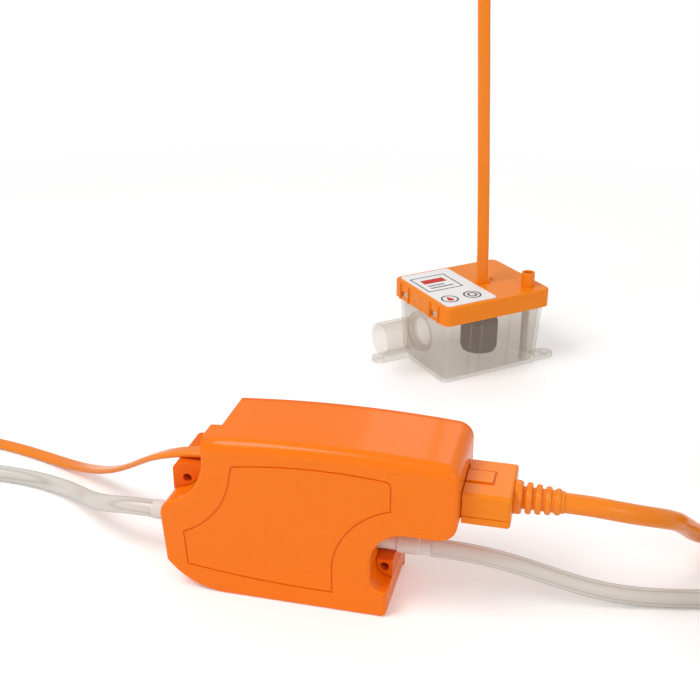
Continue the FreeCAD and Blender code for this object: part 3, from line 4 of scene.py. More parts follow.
import bmesh
import bpy
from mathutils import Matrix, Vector


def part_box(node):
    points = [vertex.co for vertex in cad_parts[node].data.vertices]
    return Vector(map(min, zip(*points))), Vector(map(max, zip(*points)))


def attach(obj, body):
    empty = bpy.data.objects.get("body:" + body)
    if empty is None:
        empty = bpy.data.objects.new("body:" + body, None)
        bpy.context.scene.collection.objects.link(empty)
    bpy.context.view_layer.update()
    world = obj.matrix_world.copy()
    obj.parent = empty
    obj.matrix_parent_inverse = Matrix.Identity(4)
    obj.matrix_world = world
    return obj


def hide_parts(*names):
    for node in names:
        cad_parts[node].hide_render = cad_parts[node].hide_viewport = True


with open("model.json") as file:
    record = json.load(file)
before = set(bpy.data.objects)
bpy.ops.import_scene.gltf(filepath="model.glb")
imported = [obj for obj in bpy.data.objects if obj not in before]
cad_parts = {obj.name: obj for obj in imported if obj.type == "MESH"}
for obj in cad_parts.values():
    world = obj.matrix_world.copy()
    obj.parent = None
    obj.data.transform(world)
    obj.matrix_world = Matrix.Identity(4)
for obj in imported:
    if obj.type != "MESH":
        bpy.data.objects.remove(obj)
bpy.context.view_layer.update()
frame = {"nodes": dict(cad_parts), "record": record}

# Looks of a condensate pump and its reservoir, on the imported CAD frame. Lengths are metres.

bl_info = {
    "name": "Condensate pump",
    "version": (1, 0, 0),
    "blender": (4, 5, 0),
    "location": "View3D > Sidebar > Pump",
    "description": "Builds the looks of the condensate pump on its CAD frame",
    "category": "Object",
}

NODES = frame["nodes"]
MM = 0.001

# The reservoir's corner in millimetres and its turn about the vertical, as in the part's source.
RESERVOIR_CORNER = (26.7, 227.8)
RESERVOIR_TURN = math.radians(41.43)

# Middles and radii of the coils in millimetres, and the gap between turns.
SUCTION_COIL = (-257, -14.7)
SUCTION_COIL_OUTER = 58.7
DISCHARGE_COIL = (255, -15)
DISCHARGE_COIL_RADIUS = 49.5
POWER_COIL = (276, 128)
POWER_COIL_RADIUS = 52
SENSOR_COIL = (-322, 132)
SENSOR_COIL_RADIUS = 44
TURN_GAP = 0.2
BACK = math.radians(90)
FRONT = math.radians(-90)

# Routes in millimetres, the same points as in the part's source.
SENSOR_ROUTE = [
    (-43.5, -1, 65.6), (-58, -1, 65.6), (-73, 0, 62.5), (-89, 7.5, 53.5), (-105, 20.5, 39.5),
    (-124, 35.5, 25), (-145, 52.5, 12), (-167, 66, 4.2), (-190, 75, 2.2), (-216, 81.5, 2.2),
    (-248, 86, 2.2), (-285, 88, 2.2), (-322, 88, 2.2),
]
SUCTION_ROUTE = [
    (-85.5, -1, 28.5), (-99, -1, 28.5), (-113, 2.4, 25.2), (-127, 11.5, 19.5), (-141, 26, 12),
    (-158, 39.5, 6), (-180, 46.5, 4.5), (-204, 48, 4.5), (-230, 46.5, 4.5), (-257, 44, 4.5),
]
DISCHARGE_ROUTE = [
    (58, -1, 28.5), (76, -1, 28.5), (96, 1, 24.5), (116, 5, 17), (136, 10.5, 9), (158, 15.5, 4.9),
    (182, 20.5, 4.5), (206, 26.5, 4.5), (230, 31.5, 4.5), (255, 34.5, 4.5),
]
POWER_ROUTE = [
    (118.4, 2, 60.75), (131, 2, 60.75), (145, 4.9, 57.75), (158, 12.5, 52.6), (170, 25.5, 44.3),
    (176.5, 44.5, 30.5), (185, 61, 16), (198, 72.5, 8.6), (216, 79, 5.2), (236, 80.5, 4.8),
    (256, 79, 4.8), (276, 76, 4.8),
]
RISER_ROUTE = [
    (42.4, 283.5, 59.5), (42.4, 283.5, 78), (41.2, 283.2, 108), (39.9, 282.9, 141), (38.3, 282.5, 174),
    (36.9, 282.15, 207), (35.3, 281.8, 238), (34.1, 281.5, 268),
]


class CasingSettings(bpy.types.PropertyGroup):
    """How soft the moulded edges are."""

    crown_round: bpy.props.FloatProperty(
        name="Crown round", description="Radius of the front edge along the top",
        default=0.0062, min=0.0, subtype="DISTANCE", unit="LENGTH")
    rim_share: bpy.props.FloatProperty(
        name="Rim share", description="Radius of the other front edges as a share of the crown's",
        default=0.24, min=0.0, max=1.0, subtype="FACTOR")
    edge_round: bpy.props.FloatProperty(
        name="Edge round", description="Radius of the small moulded edges",
        default=0.0005, min=0.0, subtype="DISTANCE", unit="LENGTH")


class CordSettings(bpy.types.PropertyGroup):
    """Sections of the hoses and leads."""

    hose_diameter: bpy.props.FloatProperty(
        name="Hose diameter", description="Outside diameter of both clear hoses",
        default=0.009, min=0.001, subtype="DISTANCE", unit="LENGTH")
    lead_diameter: bpy.props.FloatProperty(
        name="Lead diameter", description="Diameter of the power lead",
        default=0.0096, min=0.001, subtype="DISTANCE", unit="LENGTH")
    flat_width: bpy.props.FloatProperty(
        name="Flat width", description="Width of the flat sensor cables",
        default=0.008, min=0.001, subtype="DISTANCE", unit="LENGTH")
    flat_thickness: bpy.props.FloatProperty(
        name="Flat thickness", description="Thickness of the flat sensor cables",
        default=0.003, min=0.0005, subtype="DISTANCE", unit="LENGTH")
    coil_points: bpy.props.IntProperty(
        name="Coil points", description="Control points in each turn of a coil",
        default=16, min=12)


class PumpSettings(bpy.types.PropertyGroup):
    """All settings of the scene."""

    casing: bpy.props.PointerProperty(type=CasingSettings)
    cords: bpy.props.PointerProperty(type=CordSettings)


# Node helpers

def add(tree, kind, values=None, **settings):
    """Adds a shader node, sets its properties, then its inputs from numbers or other sockets."""
    made = tree.nodes.new(kind)
    for name, value in settings.items():
        setattr(made, name, value)
    for name, value in (values or {}).items():
        socket = made.inputs[name]
        if isinstance(value, bpy.types.NodeSocket):
            tree.links.new(value, socket)
        else:
            socket.default_value = value
    return made


def moulding_group():
    """Node group: faint colour drift, gloss drift and the orange-peel normal of moulded plastic."""
    group = bpy.data.node_groups.new("Moulding", "ShaderNodeTree")
    face = group.interface
    face.new_socket("Colour", in_out="INPUT", socket_type="NodeSocketColor")
    face.new_socket("Drift", in_out="INPUT", socket_type="NodeSocketFloat")
    face.new_socket("Gloss", in_out="INPUT", socket_type="NodeSocketFloat")
    face.new_socket("Peel", in_out="INPUT", socket_type="NodeSocketFloat")
    face.new_socket("Colour", in_out="OUTPUT", socket_type="NodeSocketColor")
    face.new_socket("Roughness", in_out="OUTPUT", socket_type="NodeSocketFloat")
    face.new_socket("Normal", in_out="OUTPUT", socket_type="NodeSocketVector")
    given = add(group, "NodeGroupInput")
    where = add(group, "ShaderNodeTexCoord").outputs["Object"]
    broad = add(group, "ShaderNodeTexNoise", {"Vector": where, "Scale": 14.0, "Detail": 3.0})
    fine = add(group, "ShaderNodeTexNoise", {"Vector": where, "Scale": 900.0, "Detail": 2.0})
    scuff = add(group, "ShaderNodeTexNoise", {"Vector": where, "Scale": 160.0, "Detail": 6.0})
    centred = add(group, "ShaderNodeMath", {0: broad.outputs["Fac"], 1: 0.5}, operation="SUBTRACT")
    swing = add(group, "ShaderNodeMath", {0: centred.outputs[0], 1: given.outputs["Drift"]}, operation="MULTIPLY")
    value = add(group, "ShaderNodeMath", {0: swing.outputs[0], 1: 1.0}, operation="ADD")
    tint = add(group, "ShaderNodeHueSaturation", {"Color": given.outputs["Colour"], "Value": value.outputs[0]})
    rough = add(group, "ShaderNodeMapRange", {
        "Value": scuff.outputs["Fac"], "From Min": 0.3, "From Max": 0.7, "To Min": -0.03, "To Max": 0.05})
    rougher = add(group, "ShaderNodeMath", {0: rough.outputs[0], 1: given.outputs["Gloss"]}, operation="ADD")
    bump = add(group, "ShaderNodeBump", {
        "Height": fine.outputs["Fac"], "Strength": given.outputs["Peel"], "Distance": 0.0001})
    result = add(group, "NodeGroupOutput")
    group.links.new(tint.outputs["Color"], result.inputs["Colour"])
    group.links.new(rougher.outputs[0], result.inputs["Roughness"])
    group.links.new(bump.outputs["Normal"], result.inputs["Normal"])
    return group


def new_material(name):
    """An empty node material and its output."""
    material = bpy.data.materials.new("pump_" + name)
    material.use_nodes = True
    material.node_tree.nodes.clear()
    return material, add(material.node_tree, "ShaderNodeOutputMaterial")


def moulded(name, colour, gloss=0.3, drift=0.06, peel=0.2, coat=0.0, metallic=0.0, scatter=0.0):
    """Moulded plastic, rubber or plain metal with its own colour and gloss."""
    material, output = new_material(name)
    tree = material.node_tree
    surface = add(tree, "ShaderNodeGroup", node_tree=bpy.data.node_groups["Moulding"])
    surface.inputs["Colour"].default_value = (*colour, 1.0)
    surface.inputs["Drift"].default_value = drift
    surface.inputs["Gloss"].default_value = gloss
    surface.inputs["Peel"].default_value = peel
    shader = add(tree, "ShaderNodeBsdfPrincipled", {
        "Base Color": surface.outputs["Colour"], "Roughness": surface.outputs["Roughness"],
        "Normal": surface.outputs["Normal"], "Metallic": metallic, "Coat Weight": coat,
        "Specular IOR Level": 0.12, "Coat Roughness": 0.07, "Subsurface Weight": scatter, "Subsurface Scale": 0.002,
        "Subsurface Radius": (1.0, 0.35, 0.1)})
    tree.links.new(shader.outputs[0], output.inputs["Surface"])
    return material


def clear_plastic(name, colour, face_cover, edge_cover, gloss):
    """Milky see-through plastic: clearer where it is seen square on, denser at its edges."""
    material, output = new_material(name)
    tree = material.node_tree
    surface = add(tree, "ShaderNodeGroup", node_tree=bpy.data.node_groups["Moulding"])
    surface.inputs["Colour"].default_value = (*colour, 1.0)
    surface.inputs["Drift"].default_value = 0.08
    surface.inputs["Gloss"].default_value = gloss
    surface.inputs["Peel"].default_value = 0.25
    body = add(tree, "ShaderNodeBsdfPrincipled", {
        "Base Color": surface.outputs["Colour"], "Roughness": surface.outputs["Roughness"],
        "Normal": surface.outputs["Normal"], "Coat Weight": 0.4, "Coat Roughness": 0.08})
    through = add(tree, "ShaderNodeBsdfTranslucent", {"Color": surface.outputs["Colour"]})
    milky = add(tree, "ShaderNodeMixShader", {0: 0.35, 1: body.outputs[0], 2: through.outputs[0]})
    clear = add(tree, "ShaderNodeBsdfTransparent", {"Color": (0.97, 0.96, 0.94, 1.0)})
    facing = add(tree, "ShaderNodeLayerWeight", {"Blend": 0.35})
    cover = add(tree, "ShaderNodeMapRange", {
        "Value": facing.outputs["Facing"], "To Min": face_cover, "To Max": edge_cover})
    mixed = add(tree, "ShaderNodeMixShader", {0: cover.outputs[0], 1: clear.outputs[0], 2: milky.outputs[0]})
    tree.links.new(mixed.outputs[0], output.inputs["Surface"])
    return material


def hose_material():
    """Soft clear hose: milky wall, a thin painted shade line at the bore's edge, and an outline that is denser and
    painted darker.
    """
    material, output = new_material("clear_hose")
    tree = material.node_tree
    surface = add(tree, "ShaderNodeGroup", node_tree=bpy.data.node_groups["Moulding"])
    surface.inputs["Drift"].default_value = 0.06
    surface.inputs["Gloss"].default_value = 0.2
    surface.inputs["Peel"].default_value = 0.15
    facing = add(tree, "ShaderNodeLayerWeight", {"Blend": 0.5})
    # The colour ramp over facing paints shade into the hose: a dark line where the bore's edge shows, and darker
    # colour towards the outline.
    wall = add(tree, "ShaderNodeValToRGB", {"Fac": facing.outputs["Facing"]})
    painted_shade_ramp = wall.color_ramp
    painted_shade_ramp.elements[0].color = (0.86, 0.83, 0.78, 1.0)
    painted_shade_ramp.elements[1].color = (0.50, 0.46, 0.41, 1.0)
    for place, colour in (
            (0.20, (0.82, 0.79, 0.74, 1.0)), (0.27, (0.62, 0.58, 0.53, 1.0)),
            (0.36, (0.82, 0.79, 0.74, 1.0)), (0.62, (0.84, 0.82, 0.78, 1.0))):
        painted_shade_ramp.elements.new(place).color = colour
    tree.links.new(wall.outputs["Color"], surface.inputs["Colour"])
    body = add(tree, "ShaderNodeBsdfPrincipled", {
        "Base Color": surface.outputs["Colour"], "Roughness": surface.outputs["Roughness"],
        "Normal": surface.outputs["Normal"], "Coat Weight": 0.5, "Coat Roughness": 0.08})
    through = add(tree, "ShaderNodeBsdfTranslucent", {"Color": surface.outputs["Colour"]})
    milky = add(tree, "ShaderNodeMixShader", {0: 0.25, 1: body.outputs[0], 2: through.outputs[0]})
    clear = add(tree, "ShaderNodeBsdfTransparent", {"Color": (0.96, 0.95, 0.93, 1.0)})
    cover = add(tree, "ShaderNodeMapRange", {"Value": facing.outputs["Facing"], "To Min": 0.66, "To Max": 0.95})
    mixed = add(tree, "ShaderNodeMixShader", {0: cover.outputs[0], 1: clear.outputs[0], 2: milky.outputs[0]})
    tree.links.new(mixed.outputs[0], output.inputs["Surface"])
    return material


def winding_material():
    """Lacquered copper wire, wound round the X axis, with painted shade darkening the grooves between turns."""
    material, output = new_material("copper_winding")
    tree = material.node_tree
    where = add(tree, "ShaderNodeTexCoord").outputs["Object"]
    turns = add(tree, "ShaderNodeTexWave", {"Vector": where, "Scale": 320.0, "Distortion": 0.2})
    # The wave paints the copper dark in the grooves between turns: painted shade.
    tint = add(tree, "ShaderNodeValToRGB", {"Fac": turns.outputs["Fac"]})
    tint.color_ramp.elements[0].color = (0.18, 0.05, 0.015, 1.0)
    tint.color_ramp.elements[1].color = (0.65, 0.25, 0.08, 1.0)
    bump = add(tree, "ShaderNodeBump", {"Height": turns.outputs["Fac"], "Strength": 0.6, "Distance": 0.0002})
    shader = add(tree, "ShaderNodeBsdfPrincipled", {
        "Base Color": tint.outputs["Color"], "Metallic": 0.7, "Roughness": 0.3, "Normal": bump.outputs["Normal"]})
    tree.links.new(shader.outputs[0], output.inputs["Surface"])
    return material


def build_materials():
    """Every material of the model, by the record's slot names."""
    moulding_group()
    return {
        "shell_orange": moulded("shell_orange", (0.93, 0.190, 0.003), 0.26, 0.04, 0.08, 0.22),
        "plate_orange": moulded("plate_orange", (0.86, 0.150, 0.005), 0.38, 0.05, 0.2),
        "lead_orange": moulded("lead_orange", (0.90, 0.24, 0.012), 0.28, 0.05, 0.12, 0.35),
        # pale_orange is the casing orange made paler and yellower for the plug and the lid: the lighter tone is
        # painted light.
        "pale_orange": moulded("pale_orange", (0.92, 0.245, 0.006), 0.26, 0.04, 0.10, 0.20),
        "clear_tank": clear_plastic("clear_tank", (0.70, 0.66, 0.61), 0.07, 0.50, 0.18),
        "clear_hose": hose_material(),
        "milky_cap": clear_plastic("milky_cap", (0.98, 0.97, 0.94), 0.86, 0.97, 0.25),
        "black_plastic": moulded("black_plastic", (0.02, 0.02, 0.02), 0.4),
        "float_grey": moulded("float_grey", (0.11, 0.092, 0.075), 0.6, 0.15, 0.4),
        "white_plastic": moulded("white_plastic", (0.78, 0.76, 0.72), 0.35),
        "black_rubber": moulded("black_rubber", (0.025, 0.025, 0.025), 0.65, 0.1, 0.4),
        "steel": moulded("steel", (0.55, 0.55, 0.57), 0.32, 0.08, 0.3, metallic=1.0),
        "brass": moulded("brass", (0.72, 0.48, 0.18), 0.28, 0.08, 0.2, metallic=1.0),
        "magnet": moulded("magnet", (0.05, 0.05, 0.055), 0.5, metallic=0.6),
        "board_green": moulded("board_green", (0.01, 0.12, 0.04), 0.35),
        "label_card": moulded("label_card", (0.86, 0.86, 0.85), 0.45, 0.02, 0.05),
        "copper_winding": winding_material(),
        "mark_grey": moulded("mark_grey", (0.10, 0.10, 0.11), 0.5),
        "mark_red": moulded("mark_red", (0.62, 0.035, 0.02), 0.5),
    }


# Pieces

def new_piece(name, data, body, slot, nodes=(), material=None):
    """Links a finished mesh or curve as a piece that rides on a body and stands for CAD nodes."""
    piece = bpy.data.objects.new(name, data)
    bpy.context.scene.collection.objects.link(piece)
    data.materials.append(bpy.data.materials["pump_" + (material or slot)])
    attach(piece, body)
    if nodes:
        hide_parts(*nodes)
    return piece


def body_of_node(node):
    """The CAD body that a node is in."""
    for body, members in frame["record"]["behaviour"]["bodies"].items():
        if node in members:
            return body
    raise KeyError(node)


def slot_of_node(node):
    """The record's material slot of a node."""
    for part in frame["record"]["subparts"]:
        if part["node"] == node:
            return part["material_slot"]
    raise KeyError(node)


def softened(node, width, weigh, segments=3, sharp=35.0, clamp=True, material=None):
    """A piece with a node's shape whose hard edges are rounded as far as weigh says for each."""
    bm = bmesh.new()
    bm.from_mesh(NODES[node].data)
    bmesh.ops.remove_doubles(bm, verts=bm.verts, dist=1e-6)
    bmesh.ops.dissolve_limit(bm, angle_limit=math.radians(0.6), verts=bm.verts, edges=bm.edges)
    bmesh.ops.recalc_face_normals(bm, faces=bm.faces)
    layer = bm.edges.layers.float.new("bevel_weight_edge")
    for edge in bm.edges:
        if len(edge.link_faces) == 2 and edge.calc_face_angle(0.0) > math.radians(sharp):
            edge[layer] = weigh(edge)
    for face in bm.faces:
        face.smooth = True
    data = bpy.data.meshes.new(node + "_soft")
    bm.to_mesh(data)
    bm.free()
    data.set_sharp_from_angle(angle=math.radians(30.0))
    piece = new_piece(node + "_soft", data, body_of_node(node), slot_of_node(node), [node], material)
    bevel = piece.modifiers.new("Rounding", "BEVEL")
    bevel.limit_method = "WEIGHT"
    bevel.width = width
    bevel.segments = segments
    bevel.use_clamp_overlap = clamp
    bevel.miter_outer = "MITER_ARC"
    normals = piece.modifiers.new("Normals", "WEIGHTED_NORMAL")
    normals.keep_sharp = True
    return piece


def spline_object(name, points):
    """A 3D curve with one open NURBS spline through control points in millimetres."""
    curve = bpy.data.curves.new(name, "CURVE")
    curve.dimensions = "3D"
    curve.resolution_u = 6
    spline = curve.splines.new("NURBS")
    spline.points.add(len(points) - 1)
    for point, place in zip(spline.points, points):
        point.co = (place[0] * MM, place[1] * MM, place[2] * MM, 1.0)
    spline.order_u = 3
    spline.use_endpoint_u = True
    return curve


def coil_turns(centre, radius, turns, way, start, low, pitch, count, lift=0.0, shrink=0.0):
    """Points of a coil that rises and shrinks by a step each turn, lifted on top over the last quarter."""
    total = int(round(turns * count))
    points = []
    for i in range(1, total + 1):
        angle = start + way * 2 * math.pi * i / count
        left = (total - i) / (count / 4)
        up = lift * (1 - left) ** 2 * (1 + 2 * left) if left < 1 else 0.0
        reach = (radius - shrink * i / count) / math.cos(math.pi / count)
        points.append((
            centre[0] + reach * math.cos(angle), centre[1] + reach * math.sin(angle),
            low + pitch * i / count + up))
    return points


def round_cord(name, points, diameter, body, slot, nodes, **facts):
    """A hose or lead with a round section. The facts it is given, such as its length, are not used."""
    curve = spline_object(name, points)
    curve.bevel_depth = diameter / 2
    curve.bevel_resolution = 5
    piece = new_piece(name, curve, body, slot, nodes)
    return piece


def path_points(name, points):
    """Places along the NURBS line of a route, read from a curve with no bevel."""
    curve = spline_object(name + "_line", points)
    holder = bpy.data.objects.new(name + "_line", curve)
    line = bpy.data.meshes.new_from_object(holder)
    places = [vertex.co.copy() for vertex in line.vertices]
    bpy.data.objects.remove(holder)
    bpy.data.meshes.remove(line)
    return places


def flat_cord(name, points, across, body, slot, nodes, **facts):
    """A flat cable: a rounded strip whose wide side follows across(direction) along the route."""
    cords = bpy.context.scene.pump.cords
    places = path_points(name, points)
    half_wide = cords.flat_width / 2
    half_thick = cords.flat_thickness / 2
    round_off = half_thick * 0.9
    profile = []
    for turn in range(4):
        corner_x = (half_wide - round_off) * (1 if turn in (0, 3) else -1)
        corner_y = (half_thick - round_off) * (1 if turn in (0, 1) else -1)
        for step in range(5):
            angle = math.radians(90 * turn + 22.5 * step)
            profile.append((corner_x + round_off * math.cos(angle), corner_y + round_off * math.sin(angle)))
    bm = bmesh.new()
    rings = []
    for i, place in enumerate(places):
        before = places[max(i - 1, 0)]
        after = places[min(i + 1, len(places) - 1)]
        along = (after - before).normalized()
        side = across(along)
        side = (side - along * side.dot(along)).normalized()
        up = along.cross(side)
        rings.append([bm.verts.new(place + side * x + up * y) for x, y in profile])
    for first, second in zip(rings, rings[1:]):
        for i in range(len(profile)):
            j = (i + 1) % len(profile)
            bm.faces.new((first[i], first[j], second[j], second[i]))
    bm.faces.new(list(reversed(rings[0])))
    bm.faces.new(rings[-1])
    bmesh.ops.recalc_face_normals(bm, faces=bm.faces)
    for face in bm.faces:
        face.smooth = True
    data = bpy.data.meshes.new(name)
    bm.to_mesh(data)
    bm.free()
    data.set_sharp_from_angle(angle=math.radians(50.0))
    piece = new_piece(name, data, body, slot, nodes)
    return piece


class PieceOperator:
    """What all the building operators share."""

    bl_options = {"REGISTER", "UNDO"}

    def execute(self, context):
        self.build(context.scene.pump)
        return {"FINISHED"}


class PUMP_OT_materials(PieceOperator, bpy.types.Operator):
    """Makes every material and gives each CAD node the one of its slot"""

    bl_idname = "pump.materials"
    bl_label = "Materials"

    def build(self, settings):
        materials = build_materials()
        for node, thing in NODES.items():
            material = materials[slot_of_node(node)]
            thing.data.materials.clear()
            thing.data.materials.append(material)


class PUMP_OT_casing(PieceOperator, bpy.types.Operator):
    """Builds the front cover with its soft crown and the rear plate with its towers"""

    bl_idname = "pump.casing"
    bl_label = "Casing"

    def build(self, settings):
        casing = settings.casing
        low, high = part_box("front_cover")
        front = low[1]
        top = high[2]
        right = high[0]

        def on_front(edge):
            if max(abs(v.co.y - front) for v in edge.verts) > 1e-5:
                return 0.0
            deepest = max(v.co.y for face in edge.link_faces for v in face.verts)
            if deepest - front < 0.005:
                return 0.0
            if min(v.co.z for v in edge.verts) < top - 0.0102:
                return casing.rim_share
            middle = (edge.verts[0].co + edge.verts[1].co) / 2
            if middle.x < right - 0.0085:
                return 1.0
            risen = min(max((middle.z - (top - 0.0098)) / 0.008, 0.0), 1.0)
            return casing.rim_share + (1.0 - casing.rim_share) * risen

        softened("front_cover", casing.crown_round, on_front, segments=6, sharp=25.0, clamp=False)
        softened("rear_plate", casing.edge_round, lambda edge: 1.0)


class PUMP_OT_connector(PieceOperator, bpy.types.Operator):
    """Builds the power connector, its ribbed strain relief and the small ends at the casing"""

    bl_idname = "pump.connector"
    bl_label = "Power connector"

    def build(self, settings):
        # The plug shell takes the paler orange, whose lighter tone is painted light.
        softened("plug_shell", settings.casing.edge_round, lambda edge: 1.0, material="pale_orange")
        softened("strain_relief", settings.casing.edge_round, lambda edge: 1.0)
        softened("lead_grommet", settings.casing.edge_round * 0.6, lambda edge: 1.0)
        softened("hose_cap", settings.casing.edge_round * 0.4, lambda edge: 1.0, material="milky_cap")


class PUMP_OT_reservoir(PieceOperator, bpy.types.Operator):
    """Builds the clear tank and the orange lid with its card"""

    bl_idname = "pump.reservoir"
    bl_label = "Reservoir"

    def build(self, settings):
        edge_round = settings.casing.edge_round
        softened("tank", edge_round * 0.8, lambda edge: 1.0, segments=2)
        softened("tank_spigot", edge_round * 0.8, lambda edge: 1.0, segments=2)
        # The lid takes the paler orange, whose lighter tone is painted light.
        softened("lid", edge_round, lambda edge: 1.0, material="pale_orange")
        self.card_marks()

    def card_marks(self):
        """Generic marks on the card: bars, a drop and rings, each a thin plate."""
        card = NODES["lid_label"].data.vertices
        top = max(v.co.z for v in card) + 0.00004
        origin = Vector((RESERVOIR_CORNER[0] * MM, RESERVOIR_CORNER[1] * MM, 0.0))
        along = Vector((math.cos(RESERVOIR_TURN), math.sin(RESERVOIR_TURN), 0.0))
        back = Vector((-math.sin(RESERVOIR_TURN), math.cos(RESERVOIR_TURN), 0.0))

        def spot(x, y):
            place = origin + along * (x * MM) + back * (y * MM)
            return Vector((place.x, place.y, top))

        def plate(bm, points):
            bm.faces.new([bm.verts.new(spot(x, y)) for x, y in points])

        def ring(bm, x, y, inner, outer):
            for i in range(24):
                a = 2 * math.pi * i / 24
                b = 2 * math.pi * (i + 1) / 24
                plate(bm, [
                    (x + inner * math.cos(a), y + inner * math.sin(a)),
                    (x + outer * math.cos(a), y + outer * math.sin(a)),
                    (x + outer * math.cos(b), y + outer * math.sin(b)),
                    (x + inner * math.cos(b), y + inner * math.sin(b))])

        def bar(bm, x0, y0, x1, y1):
            plate(bm, [(x0, y0), (x1, y0), (x1, y1), (x0, y1)])

        grey = bmesh.new()
        bar(grey, 6, 32, 34, 33)
        bar(grey, 6, 58, 34, 59)
        bar(grey, 6, 33, 7, 58)
        bar(grey, 33, 33, 34, 58)
        bar(grey, 11, 37, 29, 38.4)
        bar(grey, 11, 41, 24, 42.4)
        ring(grey, 12, 15, 5.0, 6.2)
        ring(grey, 30, 15, 5.2, 6.4)
        ring(grey, 30, 15, 2.2, 3.6)
        red = bmesh.new()
        bar(red, 11, 46, 29, 53)
        drop = [(12 + 2.4 * math.cos(math.radians(a)), 14 + 2.4 * math.sin(math.radians(a)))
                for a in range(-200, 21, 20)]
        plate(red, drop + [(12, 19.0)])
        for name, bm in (("card_marks_grey", grey), ("card_marks_red", red)):
            bmesh.ops.recalc_face_normals(bm, faces=bm.faces)
            data = bpy.data.meshes.new(name)
            bm.to_mesh(data)
            bm.free()
            material = "mark_grey" if name.endswith("grey") else "mark_red"
            new_piece(name, data, "lid_unit", "label_card", material=material)


class PUMP_OT_hoses(PieceOperator, bpy.types.Operator):
    """Lays both clear hoses from their fittings to the coils outside the view"""

    bl_idname = "pump.hoses"
    bl_label = "Hoses"

    def build(self, settings):
        cords = settings.cords
        diameter = cords.hose_diameter
        count = cords.coil_points
        radius = diameter / MM / 2
        pitch = diameter / MM + TURN_GAP
        turns = coil_turns(SUCTION_COIL, SUCTION_COIL_OUTER, 2.5, 1, BACK, radius, 0.0, count, shrink=pitch)
        round_cord("suction_hose_line", SUCTION_ROUTE + turns, diameter, "pump_and_tank", "clear_hose",
                   ["suction_hose", "suction_coil"], length=0.931, far_end="bare", stiffness="limp", lay="loose")
        turns = coil_turns(DISCHARGE_COIL, DISCHARGE_COIL_RADIUS, 4, -1, BACK, radius, pitch, count)
        round_cord("discharge_hose_line", DISCHARGE_ROUTE + turns, diameter, "pump_and_tank", "clear_hose",
                   ["discharge_hose", "discharge_coil"], length=1.448, far_end="bare", stiffness="limp",
                   lay="loose")


class PUMP_OT_leads(PieceOperator, bpy.types.Operator):
    """Lays the mains lead, the flat sensor lead and the flat cable above the lid"""

    bl_idname = "pump.leads"
    bl_label = "Leads"

    def build(self, settings):
        cords = settings.cords
        count = cords.coil_points
        diameter = cords.lead_diameter
        turns = coil_turns(POWER_COIL, POWER_COIL_RADIUS, 3.5, 1, FRONT, diameter / MM / 2,
                           diameter / MM + TURN_GAP, count, diameter / MM)
        round_cord("power_lead_line", POWER_ROUTE + turns, diameter, "power_connector", "lead_orange",
                   ["power_lead", "power_coil"], length=1.352, far_end="bare", stiffness="medium", lay="loose",
                   with_pieces=[NODES["power_lead_end"]])
        thickness = cords.flat_thickness / MM
        turns = coil_turns(SENSOR_COIL, SENSOR_COIL_RADIUS, 3.5, -1, FRONT, thickness / 2,
                           thickness + TURN_GAP, count, 1.5 * thickness)
        flat_cord("sensor_lead_line", SENSOR_ROUTE + turns, lambda along: along.cross(Vector((0, 0, 1))),
                  "pump_and_tank", "lead_orange", ["sensor_lead", "sensor_coil"], length=1.285,
                  far_end="connector", stiffness="limp", lay="loose", with_pieces=[NODES["sensor_connector"]])
        flat_cord("riser_cable_line", RISER_ROUTE, lambda along: Vector((0.97, 0.24, 0)), "lid_unit",
                  "lead_orange", ["riser_cable"], length=0.209, far_end="fitting", stiffness="limp",
                  lay="taut", with_pieces=[NODES["riser_clip"]])


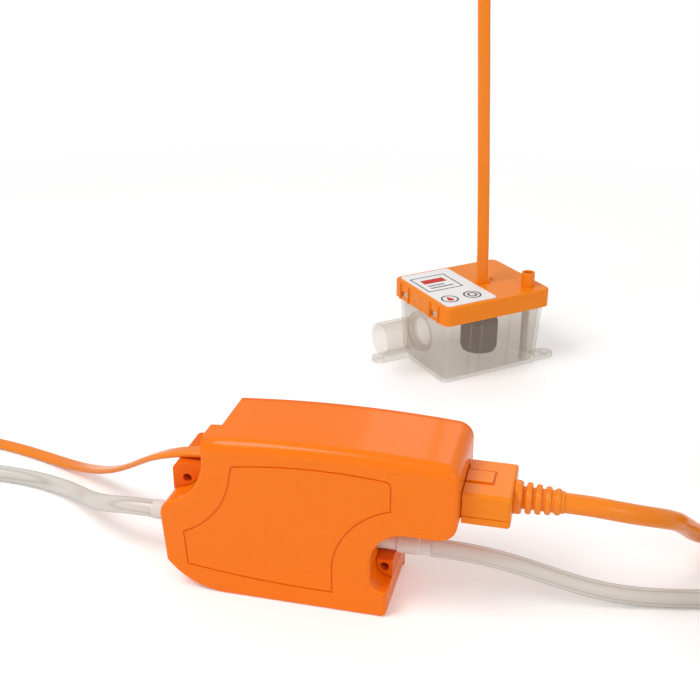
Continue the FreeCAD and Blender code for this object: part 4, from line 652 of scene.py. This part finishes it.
class PUMP_OT_stage(PieceOperator, bpy.types.Operator):
    """Sets the camera, the pale floor and the soft studio light"""

    bl_idname = "pump.stage"
    bl_label = "Stage"

    def build(self, settings):
        scene = bpy.context.scene
        scene.view_settings.view_transform = "Standard"
        self.camera(scene)
        self.floor(scene)
        self.world(scene)
        self.lamp(scene, "Key", (-0.55, -0.45, 1.15), (0.0, 0.05, 0.03), 0.6, 8.6)
        self.lamp(scene, "Fill", (0.9, -0.6, 0.6), (0.05, 0.1, 0.04), 0.6, 2.2)
        self.lamp(scene, "Back", (0.1, 1.1, 0.9), (0.0, 0.1, 0.05), 0.7, 1.6)

    def camera(self, scene):
        data = bpy.data.cameras.new("Camera")
        data.lens = 56.571
        data.sensor_width = 36.0
        data.clip_start = 0.01
        camera = bpy.data.objects.new("Camera", data)
        camera.location = (0.12582, -0.44188, 0.33366)
        camera.rotation_euler = (math.radians(65.672), 0.0, math.radians(13.84))
        scene.collection.objects.link(camera)
        scene.camera = camera

    def floor(self, scene):
        bm = bmesh.new()
        bmesh.ops.create_grid(bm, x_segments=8, y_segments=8, size=4.0)
        data = bpy.data.meshes.new("Floor")
        bm.to_mesh(data)
        bm.free()
        floor = bpy.data.objects.new("Floor", data)
        scene.collection.objects.link(floor)
        material, output = new_material("pale_floor")
        tree = material.node_tree
        where = add(tree, "ShaderNodeTexCoord").outputs["Object"]
        grain = add(tree, "ShaderNodeTexNoise", {"Vector": where, "Scale": 6.0})
        shade = add(tree, "ShaderNodeMapRange", {"Value": grain.outputs["Fac"], "To Min": 0.93, "To Max": 0.97})
        paper = add(tree, "ShaderNodeBsdfDiffuse", {"Color": shade.outputs[0]})
        glow = add(tree, "ShaderNodeEmission", {"Color": (1.0, 1.0, 1.0, 1.0), "Strength": 0.16})
        lifted = add(tree, "ShaderNodeAddShader", {0: paper.outputs[0], 1: glow.outputs[0]})
        away = add(tree, "ShaderNodeVectorMath", {0: where}, operation="LENGTH")
        fade = add(tree, "ShaderNodeMapRange", {
            "Value": away.outputs["Value"], "From Min": 0.45, "From Max": 0.95})
        blank = add(tree, "ShaderNodeEmission", {"Color": (1.0, 1.0, 1.0, 1.0), "Strength": 1.0})
        faded = add(tree, "ShaderNodeMixShader", {
            0: fade.outputs[0], 1: lifted.outputs[0], 2: blank.outputs[0]})
        path = add(tree, "ShaderNodeLightPath")
        seen = add(tree, "ShaderNodeMixShader", {
            0: path.outputs["Is Camera Ray"], 1: paper.outputs[0], 2: faded.outputs[0]})
        tree.links.new(seen.outputs[0], output.inputs["Surface"])
        data.materials.append(material)

    def world(self, scene):
        world = bpy.data.worlds.new("Studio")
        world.use_nodes = True
        tree = world.node_tree
        tree.nodes.clear()
        light = add(tree, "ShaderNodeBackground", {"Color": (1.0, 0.99, 0.98, 1.0), "Strength": 0.56})
        white = add(tree, "ShaderNodeBackground", {"Color": (1.0, 1.0, 1.0, 1.0), "Strength": 1.0})
        path = add(tree, "ShaderNodeLightPath")
        both = add(tree, "ShaderNodeMixShader", {
            0: path.outputs["Is Camera Ray"], 1: light.outputs[0], 2: white.outputs[0]})
        output = add(tree, "ShaderNodeOutputWorld")
        tree.links.new(both.outputs[0], output.inputs["Surface"])
        scene.world = world

    def lamp(self, scene, name, place, target, size, power):
        data = bpy.data.lights.new(name, "AREA")
        data.shape = "SQUARE"
        data.size = size
        data.energy = power
        lamp = bpy.data.objects.new(name, data)
        lamp.location = place
        aim = Vector(target) - Vector(place)
        lamp.rotation_euler = aim.to_track_quat("-Z", "Y").to_euler()
        scene.collection.objects.link(lamp)


class PUMP_PT_panel(bpy.types.Panel):
    """The pump's settings and build steps"""

    bl_idname = "PUMP_PT_panel"
    bl_label = "Condensate pump"
    bl_space_type = "VIEW_3D"
    bl_region_type = "UI"
    bl_category = "Pump"

    def draw(self, context):
        for group in (context.scene.pump.casing, context.scene.pump.cords):
            column = self.layout.column()
            for name in group.__annotations__:
                column.prop(group, name)
        for step in STEPS:
            self.layout.operator(step.bl_idname)


STEPS = (
    PUMP_OT_materials, PUMP_OT_casing, PUMP_OT_connector, PUMP_OT_reservoir, PUMP_OT_hoses,
    PUMP_OT_leads, PUMP_OT_stage,
)
CLASSES = (CasingSettings, CordSettings, PumpSettings, *STEPS, PUMP_PT_panel)


def register():
    for item in CLASSES:
        bpy.utils.register_class(item)
    bpy.types.Scene.pump = bpy.props.PointerProperty(type=PumpSettings)


def unregister():
    del bpy.types.Scene.pump
    for item in reversed(CLASSES):
        bpy.utils.unregister_class(item)


def main():
    """Runs every build step in order."""
    register()
    bpy.ops.pump.materials()
    bpy.ops.pump.casing()
    bpy.ops.pump.connector()
    bpy.ops.pump.reservoir()
    bpy.ops.pump.hoses()
    bpy.ops.pump.leads()
    bpy.ops.pump.stage()
    bpy.context.view_layer.update()


if __name__ == "__main__":
    main()
